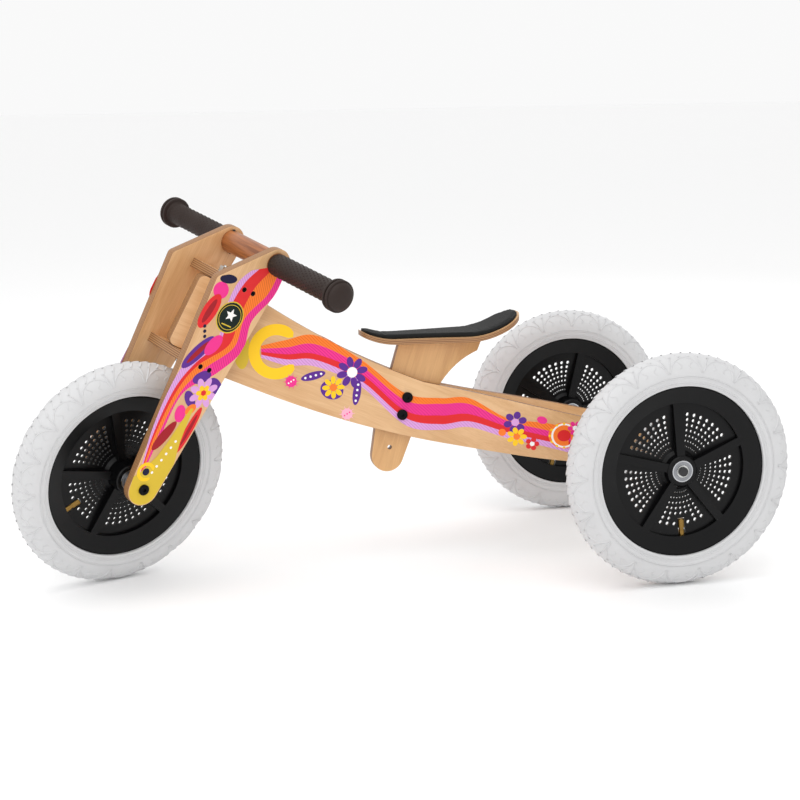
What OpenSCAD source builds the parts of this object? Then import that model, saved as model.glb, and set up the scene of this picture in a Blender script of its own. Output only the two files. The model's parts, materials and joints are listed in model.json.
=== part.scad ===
// Children's tricycle: bent plywood frame with a wishbone rear end, plywood fork that turns on a
// steel bolt, saddle on a height-adjustable post, and three wheels on ball bearings.
// Millimetres. +Z up, -Y forwards, +X to the rider's left. The origin is on the ground at
// mid-length. The fork stands turned to the left, as the tricycle is parked.

/* [Overall] */
// Distance between the front and rear axles with the fork straight
wheelbase = 696; // [600:1:840]
// Distance from the centre plane to the centre plane of a rear wheel
half_track = 216; // [180:1:260]
// Radius over the tyre
wheel_r = 152.5; // [140:0.5:165]

/* [Steering] */
// Lean of the steering axis, its top end to the rear
steer_tilt = 28; // [20:1:32]
// How far the fork is turned to the left where the tricycle stands
steer_turn = 25; // [0:1:30]
// Length of the fork along the steering axis, from the handlebar down to the front axle
fork_length = 335; // [325:1:400]
// Distance of the front axle in front of the steering axis
axle_lead = 8; // [0:1:20]
// Distance of the handlebar behind the steering axis
bar_set_back = 25; // [10:1:32]
// Distance from the centre of the fork to the inner face of a blade
fork_half_gap = 51; // [48:1:64]
// Distance down the steering axis from the handlebar to the middle of the upper crown board
crown_upper_drop = 47; // [44:1:60]
// Distance down the steering axis from the handlebar to the middle of the lower crown board
crown_lower_drop = 160; // [140:1:164]
// Width of a crown board, front to rear
crown_w = 42; // [36:1:48]

/* [Handlebar] */
// Half of the length over the two grips
bar_half = 217; // [190:1:260]
// Diameter of the dowel between the blades
bar_d = 30; // [26:1:32]
// Diameter of the dowel inside a grip
bar_end_d = 22; // [18:1:24]
// Outer diameter of a grip
grip_d = 29; // [27:1:34]
// Diameter of the collar at the end of a grip
grip_collar_d = 42; // [38:1:48]

/* [Plywood] */
// Thickness of the frame, fork and crown plywood
ply_t = 12; // [9:0.5:15]
// Thickness of the seat board
seat_board_t = 7; // [5:0.5:10]

/* [Frame] */
// Depth of an arm where it crosses the steering axis, before it is trimmed for the crown boards
arm_depth_front = 124; // [110:1:140]
// Depth of an arm at the rear axle
arm_depth_rear = 49; // [40:1:60]
// How far the arm runs straight back from the head before it bends down
arm_reach_front = 99; // [80:1:120]
// How far the bend reaches forwards from the rear axle
arm_reach_rear = 323; // [260:1:380]
// Slope of the arm at the rear axle, in degrees
arm_slope_rear = 5; // [0:1:10]
// Distance between the outer faces of the arms at the rear axle
wishbone_w = 120; // [90:1:160]
// Distance in front of the rear axle where the arms begin to spread
spread_start = 256; // [220:1:280]
// Distance in front of the rear axle where the arms are parallel again
spread_end = 56; // [40:1:80]
// Length of the nose in front of the steering axis
nose_l = 28; // [22:1:30]
// How far the filler block runs back from the steering axis
block_l = 120; // [80:1:150]

/* [Seat] */
// Distance from the rear axle forwards to the middle of the two seat bolts
seat_ahead = 313; // [280:1:340]
// Lean of the seat post, its top end to the rear
post_tilt = 17.8; // [0:0.1:25]
// Distance between two height holes
hole_pitch = 24.4; // [20:0.1:30]
// Diameter of a height hole
post_hole_d = 6.2; // [5:0.1:8]
// Height of the underside of the seat board above the seat bolts
seat_rise = 84.6; // [78:0.1:100]
// Length of the seat board in front of the seat bolts
seat_front_l = 57; // [50:1:70]
// Length of the seat board behind the seat bolts
seat_rear_l = 164; // [150:1:180]
// Half width of the seat at its nose
seat_nose_half_w = 23; // [18:1:40]
// Half width of the seat at its rear
seat_rear_half_w = 39; // [30:1:70]
// Thickness of the seat pad
pad_t = 5.5; // [3:0.5:12]

/* [Wheels] */
// Radius of the rim's edge
rim_r = 111; // [100:1:118]
// Half width of the rim over its edges
rim_half_w = 15.7; // [13:0.1:18]
// Half width of the tyre
tyre_half_w = 21.5; // [18:0.5:26]
// Radius where the sloping rim wall meets the disc
disc_r = 88; // [84:1:92]
// Thickness of the disc
disc_t = 4; // [3:0.5:6]
// Length of the hub on its flush side, from the middle of the wheel
hub_short = 15; // [13:0.5:20]
// Length of the hub on its other side, from the middle of the wheel
hub_long = 28.5; // [24:0.5:36]
// Number of ribs, and of pierced panels between them
ribs = 5; // [3:1:8]
// Number of rings of holes in a panel
hole_rings = 7; // [3:1:7]
// Number of holes in each ring of one panel
holes_per_ring = 7; // [3:1:8]

/* [Bearings and axles] */
// Diameter of the axles
axle_d = 12; // [10:1:12]
// Outer diameter of a bearing
bearing_d = 28; // [26:1:30]
// Width of a bearing
bearing_w = 8; // [7:0.5:9]

/* [Hidden] */
$fn = 64;
long = 400;

// clearances
fit_gap = 0.1;
run_gap = 0.05;
ball_gap = 0.3;

// tyre section, an ellipse around this ring
tyre_half_h = (wheel_r - rim_r + 13) / 2;
tyre_ring_r = wheel_r - tyre_half_h;

// the fork leans as it turns, so the front wheel's lowest point is worked out from its section
lean = asin(sin(steer_turn) * sin(steer_tilt));
yaw_n = sin(steer_turn) * cos(steer_tilt);
yaw_f = sqrt(1 - yaw_n * yaw_n);
front_axle_z = tyre_ring_r * cos(lean) + norm([tyre_half_h * cos(lean), tyre_half_w * sin(lean)]);
front_reach = tyre_ring_r * yaw_f + norm([tyre_half_h * yaw_f, tyre_half_w * yaw_n]);
lead_shift = axle_lead * cos(steer_tilt) * (1 - cos(steer_turn));
rear_y = (wheelbase - lead_shift + front_reach - wheel_r) / 2;

// the steering axis at the height of the handlebar
head_y = rear_y - wheelbase + axle_lead * cos(steer_tilt) + fork_length * sin(steer_tilt);
head_z = front_axle_z - axle_lead * cos(steer_turn) * sin(steer_tilt) + fork_length * cos(steer_tilt);

// the head sits between the two crown boards, with a thin bush flange at each end
bush_flange_t = 0.9;
head_gap = 1;
head_top = -crown_upper_drop - ply_t / 2 - head_gap;
head_bottom = -crown_lower_drop + ply_t / 2 + head_gap;
head_mid = -(crown_upper_drop + crown_lower_drop) / 2 - 3.2;
blade_outer = fork_half_gap + ply_t;
crown_upper_h = 4;
crown_lower_h = -5;
head_tube_r = 8;
head_bush_r = 6;
steer_bolt_r = 4;
bush_l = 20;
bush_flange_r = 14;
washer_t = 1.2;
washer_r = 8;
m8_nut_h = 6.8;
m8_nut_across = 13;
m8_head_r = 7;
m8_head_h = 4.4;

// arms
arm_in = ply_t / 2;
arm_out = arm_in + ply_t;
arm_steps = 60;
spread_steps = 40;

// head, axle and handles of the curve that the middle of an arm follows, in Y and Z
up_dir = [sin(steer_tilt), cos(steer_tilt)];
back_dir = [cos(steer_tilt), -sin(steer_tilt)];
arm_p0 = [head_y, head_z] + up_dir * head_mid;
arm_p1 = arm_p0 + back_dir * arm_reach_front;
arm_p3 = [rear_y, wheel_r];
arm_p2 = arm_p3 - [cos(arm_slope_rear), -sin(arm_slope_rear)] * arm_reach_rear;
function arm_mid(s) = pow(1 - s, 3) * arm_p0 + 3 * pow(1 - s, 2) * s * arm_p1
    + 3 * (1 - s) * s * s * arm_p2 + pow(s, 3) * arm_p3;
function arm_run(s) = pow(1 - s, 2) * (arm_p1 - arm_p0) + 2 * (1 - s) * s * (arm_p2 - arm_p1)
    + s * s * (arm_p3 - arm_p2);
function arm_side(s) = [-arm_run(s)[1], arm_run(s)[0]] / norm(arm_run(s));
function arm_half(s) = (arm_depth_front + (arm_depth_rear - arm_depth_front) * s) / 2;
// the place on that curve with a given Y, found by halving
function arm_at(y, lo = 0, hi = 1, n = 24) = n == 0 ? (lo + hi) / 2
    : arm_mid((lo + hi) / 2)[0] < y ? arm_at(y, (lo + hi) / 2, hi, n - 1)
    : arm_at(y, lo, (lo + hi) / 2, n - 1);
function ease(t) = t <= 0 ? 0 : t >= 1 ? 1 : t * t * (3 - 2 * t);
function ease_slope(t) = t <= 0 || t >= 1 ? 0 : 6 * t * (1 - t);
spread_y0 = rear_y - spread_start;
spread_y1 = rear_y - spread_end;
spread_l = spread_y1 - spread_y0;
spread_x = wishbone_w / 2 - arm_out;
function arm_x(y) = arm_in + ply_t / 2 + spread_x * ease((y - spread_y0) / spread_l);
function arm_x_half(y) = ply_t / 2
    * sqrt(1 + pow(spread_x / spread_l * ease_slope((y - spread_y0) / spread_l), 2));

// seat post, in its own frame: rearwards and up the post, from the middle of the seat bolts
post_y = rear_y - seat_ahead;
post_z = arm_mid(arm_at(post_y))[1];
seat_z = post_z + seat_rise;
tab_r = 22;
tab_drop = 3.5 * hole_pitch - 12.6;
hole_steps = [0.5, -0.5, -1.5, -2.5];
cap_r = 7.2;
cap_t = 3.4;
sleeve_r = post_hole_d / 2 - fit_gap;
seat_bolt_r = sleeve_r - 1;
hex_r = 2.6;
hex_depth = 2;
seat_screw_y = [12, 48, 82];
seat_screw_r = 2.2;
seat_screw_head_r = 4.2;
seat_screw_l = 28;

// seat board: flat in the middle, its nose and tail curled up
seat_nose_curl = 12;
seat_tail_curl = 28.5;
seat_flat_y0 = -9;
seat_flat_y1 = 88;
nose_run = seat_front_l + seat_flat_y0;
tail_run = seat_rear_l - seat_flat_y1;
function seat_curl(y) = y < seat_flat_y0 ? seat_nose_curl * pow((seat_flat_y0 - y) / nose_run, 2)
    : y > seat_flat_y1 ? seat_tail_curl * pow((y - seat_flat_y1) / tail_run, 1.9) : 0;
seat_steps = 48;
seat_round = 24;
pad_inset = 3;
pad_round = 1.5;
function seat_half_w(t) = seat_nose_half_w
    + (seat_rear_half_w - seat_nose_half_w) * ease((t - 0.15) / 0.75);
// the ends are rounded like the quarter of a superellipse
function end_round(d, r) = d >= r ? 1 : pow(1 - pow(1 - d / r, 2.6), 1 / 2.6);
function seat_edge(y, inset) = let (
        len = seat_front_l + seat_rear_l,
        t = (y + seat_front_l) / len,
        w = seat_half_w(t) - inset,
        nose = end_round(max(0, y + seat_front_l - inset), 18),
        tail = end_round(max(0, seat_rear_l - inset - y), 34)
    ) w * min(nose, tail);

// wheel section
rim_lip_t = 3;
rim_well_r = rim_r - 14;
rim_seat_r = rim_r - 9;
cone_in = 7;
hub_r = 20;
hub_neck_r = 26;
hub_bore_r = 12;
rib_w = 11;
first_ring_r = 31;
ring_step = 6.9;
ring_arc_in = 34.6;
ring_arc_out = 46.4;
hole_d_in = 2.3;
hole_d_out = 4.9;
rib_turn = 94;
valve_panel = 2;
valve_r = 4;
valve_hole_r = 4.3;
valve_tip = 72;
valve_cap_l = 12;
valve_in = 9;
slot_in = 65;
slot_w = 10;
tyre_wall = 3.6;
tube_gap = 0.5;
tube_wall = 1.6;
bead_w = 3.5;

// bearings
inner_ring_r = 8.3;
outer_ring_r = 11.7;
pitch_r = (inner_ring_r + outer_ring_r) / 2;
ball_r = 2.2;
balls = 8;
groove_r = ball_r + ball_gap;
shield_t = 0.6;
axle_r = axle_d / 2;
clip_t = 1.2;
clip_groove = 0.35;
axle_end = 2.6;
cross_tube_r = 11;

// each wheel's own turn about its axle, and each seat bolt's place
front_turn = 32;
left_turn = 0;
right_turn = 11;
seat_bolt_steps = [0.5, -0.5];

// ---- frames of reference ----

// the steering axis stands along Z here, with the height of the handlebar at 0
module at_head() {
    translate([0, head_y, head_z]) rotate([-steer_tilt, 0, 0]) children();
}

module at_fork() {
    at_head() rotate([0, 0, steer_turn]) children();
}

module at_post() {
    translate([0, post_y, post_z]) children();
}

// a wheel is drawn around the X axis, with its flush side towards +X
module at_front_wheel() {
    at_fork() translate([0, -axle_lead, -fork_length]) rotate([0, 0, 180]) rotate([front_turn, 0, 0])
        children();
}

module at_left_wheel() {
    translate([half_track, rear_y, wheel_r]) rotate([left_turn, 0, 0]) children();
}

module at_right_wheel() {
    translate([-half_track, rear_y, wheel_r]) rotate([0, 0, 180]) rotate([right_turn, 0, 0])
        children();
}

// an outline in Y and Z, extruded from x0 to x1
module side_slab(x0, x1) {
    translate([x0, 0, 0]) rotate([90, 0, 90]) linear_extrude(x1 - x0) children();
}

module rod_x(x0, x1, r) {
    translate([x0, 0, 0]) rotate([0, 90, 0]) cylinder(h = x1 - x0, r = r);
}

module tube_x(x0, x1, r, bore) {
    difference() {
        rod_x(x0, x1, r);
        rod_x(x0 - 1, x1 + 1, bore);
    }
}

module tube_z(z0, z1, r, bore) {
    difference() {
        translate([0, 0, z0]) cylinder(h = z1 - z0, r = r);
        translate([0, 0, z0 - 1]) cylinder(h = z1 - z0 + 2, r = bore);
    }
}

// points of an arc about c, from angle a0 to a1
function arc(c, r, a0, a1, n) = [for (i = [0:n]) let (a = a0 + (a1 - a0) * i / n)
    c + r * [cos(a), sin(a)]];

// the angle at which the line on the outside of two circles [x, y, r] touches them both
function touch(a, b) = atan2(b[1] - a[1], b[0] - a[0])
    - acos((a[2] - b[2]) / norm([b[0] - a[0], b[1] - a[1]]));

// the outline of a belt around circles, which are listed anticlockwise
function belt(c, n = 16) = [for (i = [0:len(c) - 1])
    let (
        a0 = touch(c[(i + len(c) - 1) % len(c)], c[i]),
        a1 = touch(c[i], c[(i + 1) % len(c)]),
        turn = a1 - a0 - 360 * floor((a1 - a0) / 360)
    ) each arc([c[i][0], c[i][1]], c[i][2], a0, a0 + turn, n)];

// ---- frame ----

// between a place in Y and Z and one measured rearwards and up from the steering axis
function from_head(p) = [head_y, head_z] + back_dir * p[0] + up_dir * p[1];
function to_head(p) = [(p - [head_y, head_z]) * back_dir, (p - [head_y, head_z]) * up_dir];
function arm_top(s) = to_head(arm_mid(s) + arm_side(s) * arm_half(s));
// where the top edge of the arm comes down to the upper crown board, found by halving
function flat_end(lo = 0, hi = 0.5, n = 20) = n == 0 ? hi
    : arm_top((lo + hi) / 2)[1] > head_top ? flat_end((lo + hi) / 2, hi, n - 1)
    : flat_end(lo, (lo + hi) / 2, n - 1);
function arm_low(s) = to_head(arm_mid(s) - arm_side(s) * arm_half(s));

// the side view of an arm: a nose between the crown boards, a step to clear the lower one,
// and a round end about the rear axle
module arm_outline() {
    step_h = bar_set_back + 9;
    step_r = 6;
    low = [for (i = [arm_steps:-1:1]) let (p = arm_low(i / arm_steps)) if (p[0] > step_h + 2) p];
    step_v = low[len(low) - 1][1];
    polygon(concat(
        [for (p = arc([-nose_l + 8, head_bottom + 8], 8, 270, 180, 8)) from_head(p)],
        [for (p = arc([-nose_l + 8, head_top - 8], 8, 180, 90, 8)) from_head(p)],
        [from_head([arm_top(flat_end())[0], head_top])],
        [for (i = [1:arm_steps]) let (p = arm_top(i / arm_steps)) if (p[1] < head_top - 0.5) from_head(p)],
        arc(arm_p3, arm_depth_rear / 2, 80 - arm_slope_rear, -80 - arm_slope_rear, 18),
        [for (p = low) from_head(p)],
        [from_head([step_h, step_v])],
        [for (p = arc([step_h - step_r, head_bottom - step_r], step_r, 0, 90, 6)) from_head(p)]
    ));
}

// one arm in top view, in X and Y, for the rider's left
module arm_plan() {
    y0 = head_y - long / 2;
    polygon(concat(
        [[arm_out, y0]],
        [for (i = [0:spread_steps]) let (y = spread_y0 + spread_l * i / spread_steps)
            [arm_x(y) + arm_x_half(y), y]],
        [[wishbone_w / 2, rear_y + 60], [wishbone_w / 2 - ply_t, rear_y + 60]],
        [for (i = [spread_steps:-1:0]) let (y = spread_y0 + spread_l * i / spread_steps)
            [arm_x(y) - arm_x_half(y), y]],
        [[arm_in, y0]]
    ));
}

module arm_left() {
    difference() {
        intersection() {
            side_slab(1, wishbone_w / 2 + 20) arm_outline();
            linear_extrude(long * 2) arm_plan();
        }
        at_head() translate([0, 0, -long / 2]) cylinder(h = long / 2, r = head_tube_r);
        translate([0, rear_y, wheel_r]) rod_x(0, long, axle_r + fit_gap);
        at_post() seat_bolt_row(seat_bolt_steps) rod_x(0, long, sleeve_r + fit_gap);
    }
}

module frame_arm_left() {
    color("burlywood") arm_left();
}

module frame_arm_right() {
    color("burlywood") mirror([1, 0, 0]) arm_left();
}

// filler between the arms at the head; the tube's bore divides it into a front and a rear piece
module head_filler() {
    color("burlywood") difference() {
        side_slab(-arm_in, arm_in) intersection() {
            arm_outline();
            translate([head_y, head_z]) rotate(-steer_tilt)
                translate([-nose_l - 10, -300]) square([nose_l + 10 + block_l, 300]);
        }
        at_head() translate([0, 0, -long / 2]) cylinder(h = long / 2, r = head_tube_r);
    }
}

module head_tube() {
    color("silver") at_head() tube_z(head_bottom, head_top, head_tube_r, head_bush_r);
}

module head_bush() {
    difference() {
        union() {
            translate([0, 0, -bush_l]) cylinder(h = bush_l, r = head_bush_r);
            cylinder(h = bush_flange_t, r = bush_flange_r);
        }
        translate([0, 0, -bush_l - 1]) cylinder(h = bush_l + 3, r = steer_bolt_r + run_gap);
    }
}

module head_bush_upper() {
    color("black") at_head() translate([0, 0, head_top]) head_bush();
}

module head_bush_lower() {
    color("black") at_head() translate([0, 0, head_bottom]) mirror([0, 0, 1]) head_bush();
}

// ---- rear axle ----

rear_hub_out = half_track + hub_short;
rear_hub_in = half_track - hub_long;
axle_half = rear_hub_out + clip_t + axle_end;

module both_sides() {
    children();
    mirror([1, 0, 0]) children();
}

module rear_axle() {
    color("dimgray") translate([0, rear_y, wheel_r]) difference() {
        rod_x(-axle_half, axle_half, axle_r);
        both_sides() tube_x(rear_hub_out, rear_hub_out + clip_t, axle_r + 1, axle_r - clip_groove);
    }
}

module axle_clips() {
    color("silver") translate([0, rear_y, wheel_r]) both_sides()
        tube_x(rear_hub_out, rear_hub_out + clip_t, inner_ring_r - 0.4, axle_r - clip_groove);
}

module axle_cross_tube() {
    color("silver") translate([0, rear_y, wheel_r])
        tube_x(-wishbone_w / 2 + ply_t, wishbone_w / 2 - ply_t, cross_tube_r, axle_r);
}

module axle_side_spacers() {
    color("silver") translate([0, rear_y, wheel_r]) both_sides()
        tube_x(wishbone_w / 2, rear_hub_in, inner_ring_r, axle_r);
}

module rear_hub_sleeves() {
    color("silver") translate([0, rear_y, wheel_r]) both_sides()
        tube_x(rear_hub_in + bearing_w, rear_hub_out - bearing_w, inner_ring_r, axle_r);
}

// ---- seat ----

// places children at height holes, counted in pitches up the post from the middle of the bolts
module seat_bolt_row(steps) {
    for (k = steps)
        translate([0, k * hole_pitch * sin(post_tilt), k * hole_pitch * cos(post_tilt)]) children();
}

// the side view of the post in Y and Z from the middle of the bolts: a tab with a round end,
// straight edges through the frame, and a flare under the seat
module post_outline() {
    flare = [[37, 15], [42, 45], [52, 75], [80, 98]];
    function bez(t) = pow(1 - t, 3) * flare[0] + 3 * pow(1 - t, 2) * t * flare[1]
        + 3 * (1 - t) * t * t * flare[2] + pow(t, 3) * flare[3];
    intersection() {
        rotate(-post_tilt) polygon(concat(
            arc([0.5, -tab_drop], tab_r, 186, 354, 20),
            [[24.6, -41]],
            [for (i = [0:12]) bez(i / 12)],
            [[81, 112], [78, 130], [-30, 130], [-27, -41]]
        ));
        translate([-150, -150]) square([300, 150 + seat_rise]);
    }
}

module seat_post() {
    color("burlywood") at_post() difference() {
        side_slab(-ply_t / 2, ply_t / 2) post_outline();
        seat_bolt_row(hole_steps) rod_x(-ply_t, ply_t, post_hole_d / 2);
        seat_screw_places() cylinder(h = long, r = seat_screw_r, center = true);
    }
}

// black cap with a hexagon socket, drawn on the face x = 0
module socket_cap(r, t, hex) {
    difference() {
        union() {
            rod_x(0, t - 1, r);
            translate([t - 1, 0, 0]) rotate([0, 90, 0]) cylinder(h = 1, r1 = r, r2 = r - 1);
        }
        translate([t - hex_depth, 0, 0]) rotate([0, 90, 0]) cylinder(h = long, r = hex, $fn = 6);
    }
}

// the bolt's cap is on the rider's right, and the nut's cap and sleeve are on the left
module seat_bolts() {
    color("black") at_post() seat_bolt_row(seat_bolt_steps) union() {
        mirror([1, 0, 0]) translate([arm_out, 0, 0]) socket_cap(cap_r, cap_t, hex_r);
        rod_x(-arm_out, arm_out - 4, seat_bolt_r);
    }
}

module seat_nuts() {
    color("black") at_post() seat_bolt_row(seat_bolt_steps) difference() {
        union() {
            translate([arm_out, 0, 0]) socket_cap(cap_r, cap_t, hex_r);
            rod_x(-arm_in, arm_out, sleeve_r);
        }
        rod_x(-arm_in - 1, arm_out - 4, seat_bolt_r);
    }
}

module seat_screw_places() {
    for (y = seat_screw_y) translate([0, y, 0]) children();
}

// the board or the pad in side view, between two heights above the board's underside
module seat_side(z0, z1) {
    span = seat_front_l + seat_rear_l;
    translate([0, seat_rise]) polygon(concat(
        [for (i = [0:seat_steps]) let (y = -seat_front_l + span * i / seat_steps)
            [y, seat_curl(y) + z0]],
        [for (i = [seat_steps:-1:0]) let (y = -seat_front_l + span * i / seat_steps)
            [y, seat_curl(y) + z1]]
    ));
}

// the same in top view, in X and Y
module seat_plan(inset) {
    y0 = -seat_front_l + inset;
    y1 = seat_rear_l - inset;
    // steps are closer together at the rounded ends
    ys = [for (i = [0:seat_round * 2]) y0 + (y1 - y0) * (1 - cos(90 * i / seat_round)) / 2];
    polygon(concat(
        [for (y = ys) [seat_edge(y, inset), y]],
        [for (i = [len(ys) - 2:-1:1]) [-seat_edge(ys[i], inset), ys[i]]]
    ));
}

module seat_board() {
    color("burlywood") at_post() difference() {
        intersection() {
            side_slab(-100, 100) seat_side(0, seat_board_t);
            linear_extrude(long) seat_plan(0);
        }
        seat_screw_places() cylinder(h = long, r = seat_screw_r, center = true);
        seat_screw_places() translate([0, 0, seat_rise + seat_board_t - 2])
            cylinder(h = 20, r = seat_screw_head_r);
    }
}

module seat_pad() {
    color("black") at_post() intersection() {
        side_slab(-100, 100) seat_side(seat_board_t, seat_board_t + pad_t);
        linear_extrude(long) seat_plan(pad_inset);
    }
}

module seat_screws() {
    top = seat_rise + seat_board_t;
    color("dimgray") at_post() seat_screw_places() union() {
        translate([0, 0, top - 2]) cylinder(h = 1.8, r = seat_screw_head_r);
        translate([0, 0, top - seat_screw_l]) cylinder(h = seat_screw_l - 1, r = seat_screw_r);
    }
}

// ---- fork ----

blade_head_r = 20.5;
blade_foot_r = 22;
blade_brow = [-42, -49];
blade_brow_r = 8;
screw_gap = 7.5;
screw_r = 2;
screw_head_r = 3.4;
screw_head_t = 3;
screw_l = 42;
bar_fit = 0.1;

// the side view of a blade, rearwards and up the steering axis
module blade_outline() {
    polygon(belt([
        [bar_set_back, 0, blade_head_r],
        [blade_brow[0], blade_brow[1], blade_brow_r],
        [-axle_lead, -fork_length, blade_foot_r]
    ]));
}

// places children at the crown screws of the left blade, on its outer face
module crown_screw_places() {
    for (side = [-1, 1]) {
        translate([blade_outer, crown_upper_h + side * screw_gap, -crown_upper_drop]) children();
        translate([blade_outer, crown_lower_h + side * screw_gap, -crown_lower_drop]) children();
    }
}

module blade_left() {
    difference() {
        side_slab(fork_half_gap, blade_outer) blade_outline();
        translate([0, bar_set_back, 0]) rod_x(0, long, bar_d / 2 + bar_fit);
        translate([0, -axle_lead, -fork_length]) rod_x(0, long, front_bolt_r + fit_gap);
        crown_screw_places() rod_x(-long, 1, screw_r);
        crown_screw_places() rod_x(-screw_head_t, 1, screw_head_r);
    }
}

module fork_blade_left() {
    color("orangered") at_fork() blade_left();
}

module fork_blade_right() {
    color("burlywood") at_fork() mirror([1, 0, 0]) blade_left();
}

module crown_board(drop, h) {
    difference() {
        translate([-fork_half_gap, h - crown_w / 2, -drop - ply_t / 2])
            cube([2 * fork_half_gap, crown_w, ply_t]);
        translate([0, 0, -long]) cylinder(h = long, r = steer_bolt_r + fit_gap);
        both_sides() crown_screw_places() rod_x(-screw_l, 1, screw_r);
    }
}

module crown_board_upper() {
    color("peru") at_fork() crown_board(crown_upper_drop, crown_upper_h);
}

module crown_board_lower() {
    color("peru") at_fork() crown_board(crown_lower_drop, crown_lower_h);
}

module crown_screws() {
    color("black") at_fork() both_sides() crown_screw_places() difference() {
        union() {
            rod_x(-screw_l, -screw_head_t, screw_r);
            rod_x(-screw_head_t, -0.4, screw_head_r);
        }
        translate([-2, 0, 0]) rotate([0, 90, 0]) cylinder(h = 4, r = 1.6, $fn = 6);
    }
}

// the dowel is turned down inside the grips
module handlebar() {
    color("sienna") at_fork() translate([0, bar_set_back, 0]) difference() {
        union() {
            rod_x(-blade_outer, blade_outer, bar_d / 2);
            rod_x(-bar_half + grip_end_t, bar_half - grip_end_t, bar_end_d / 2);
        }
        both_sides() translate([pin_x, 0, 0]) rotate([pin_turn, 0, 0])
            cylinder(h = long, r = pin_r, center = true);
    }
}

pin_r = 2;
pin_x = fork_half_gap - pin_r - 1;
pin_turn = 20;
pin_half = bar_d / 2 + 1.5;
grip_end_t = 5;
collar_w = 4;
collar_gap = 2.5;
dome_l = 9;

// cross pins that keep the dowel from sliding through the blades
module handlebar_pins() {
    color("dimgray") at_fork() translate([0, bar_set_back, 0]) both_sides()
        translate([pin_x, 0, 0]) rotate([pin_turn, 0, 0])
            cylinder(h = 2 * pin_half, r = pin_r, center = true);
}

// half section of a grip, radius against distance along the bar
module grip_section() {
    r = grip_d / 2;
    rc = grip_collar_d / 2;
    rd = rc - 2.5;
    e = bar_half;
    c1 = e - dome_l - 2 * collar_w - collar_gap;
    c2 = e - dome_l - collar_w;
    polygon(concat(
        [[bar_end_d / 2, blade_outer], [r, blade_outer], [r, c1 - 3], [r + 2, c1],
         [rc - 0.8, c1], [rc, c1 + 0.8], [rc, c1 + collar_w - 0.8], [rc - 0.8, c1 + collar_w],
         [rd - 1, c1 + collar_w], [rd - 1, c2], [rc - 0.8, c2], [rc, c2 + 0.8],
         [rc, c2 + collar_w - 0.8], [rc - 0.8, c2 + collar_w]],
        [for (a = [0:15:90]) [rd * cos(a), e - dome_l + dome_l * sin(a)]],
        [[0, e - grip_end_t], [bar_end_d / 2, e - grip_end_t]]
    ));
}

module grip() {
    translate([0, bar_set_back, 0]) rotate([0, 90, 0]) rotate_extrude($fn = 96) grip_section();
}

module grip_left() {
    color("dimgray") at_fork() grip();
}

module grip_right() {
    color("dimgray") at_fork() mirror([1, 0, 0]) grip();
}

module steering_bolt() {
    low = -crown_lower_drop - ply_t / 2;
    high = -crown_upper_drop + ply_t / 2;
    color("silver") at_fork() difference() {
        union() {
            translate([0, 0, low - washer_t - m8_head_h]) cylinder(h = m8_head_h, r = m8_head_r);
            translate([0, 0, low - washer_t]) cylinder(h = washer_t, r = washer_r);
            translate([0, 0, low - 1]) cylinder(h = high - low + washer_t + m8_nut_h + 3, r = steer_bolt_r);
        }
        translate([0, 0, low - washer_t - m8_head_h - 1]) cylinder(h = 3.5, r = 2.9, $fn = 6);
    }
}

module steering_nut() {
    high = -crown_upper_drop + ply_t / 2;
    color("silver") at_fork() difference() {
        union() {
            translate([0, 0, high]) cylinder(h = washer_t, r = washer_r);
            translate([0, 0, high + washer_t])
                cylinder(h = m8_nut_h, r = m8_nut_across / 2 / cos(30), $fn = 6);
        }
        translate([0, 0, high - 1]) cylinder(h = 20, r = steer_bolt_r);
    }
}

// ---- front axle ----

front_bolt_r = 3;
front_bolt_l = 26;

module at_front_axle() {
    at_fork() translate([0, -axle_lead, -fork_length]) children();
}

module front_axle() {
    color("dimgray") at_front_axle() difference() {
        rod_x(-fork_half_gap, fork_half_gap, axle_r);
        both_sides() rod_x(fork_half_gap - front_bolt_l, long, front_bolt_r);
    }
}

module front_axle_bolts() {
    color("black") at_front_axle() both_sides() union() {
        translate([blade_outer, 0, 0]) socket_cap(cap_r, cap_t, hex_r);
        rod_x(fork_half_gap - front_bolt_l + 2, blade_outer + 1, front_bolt_r);
    }
}

// the front hub's long side is on the rider's left
module front_axle_spacers() {
    color("silver") at_front_axle() union() {
        tube_x(hub_long, fork_half_gap, inner_ring_r, axle_r);
        tube_x(-fork_half_gap, -hub_short, inner_ring_r, axle_r);
    }
}

module front_hub_sleeve() {
    color("silver") at_front_axle()
        tube_x(-hub_short + bearing_w, hub_long - bearing_w, inner_ring_r, axle_r);
}

// ---- wheels ----

// a wheel's parts all turn about the X axis
module spin_x() {
    rotate([0, 90, 0]) rotate_extrude($fn = 72) children();
}

// a point of the tyre's section, as radius and distance along the axle, w inside its surface
function section(a, w) = [tyre_ring_r + (tyre_half_h - w) * sin(a), (tyre_half_w - w) * cos(a)];
// the tube narrows downwards to pass between the tyre's beads
function tube_at(a, w) = [section(a, w)[0], section(a, w)[1] * (a > 180 ? 1 - 0.8 * pow(abs(sin(a)), 1.3) : 1)];

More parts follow.
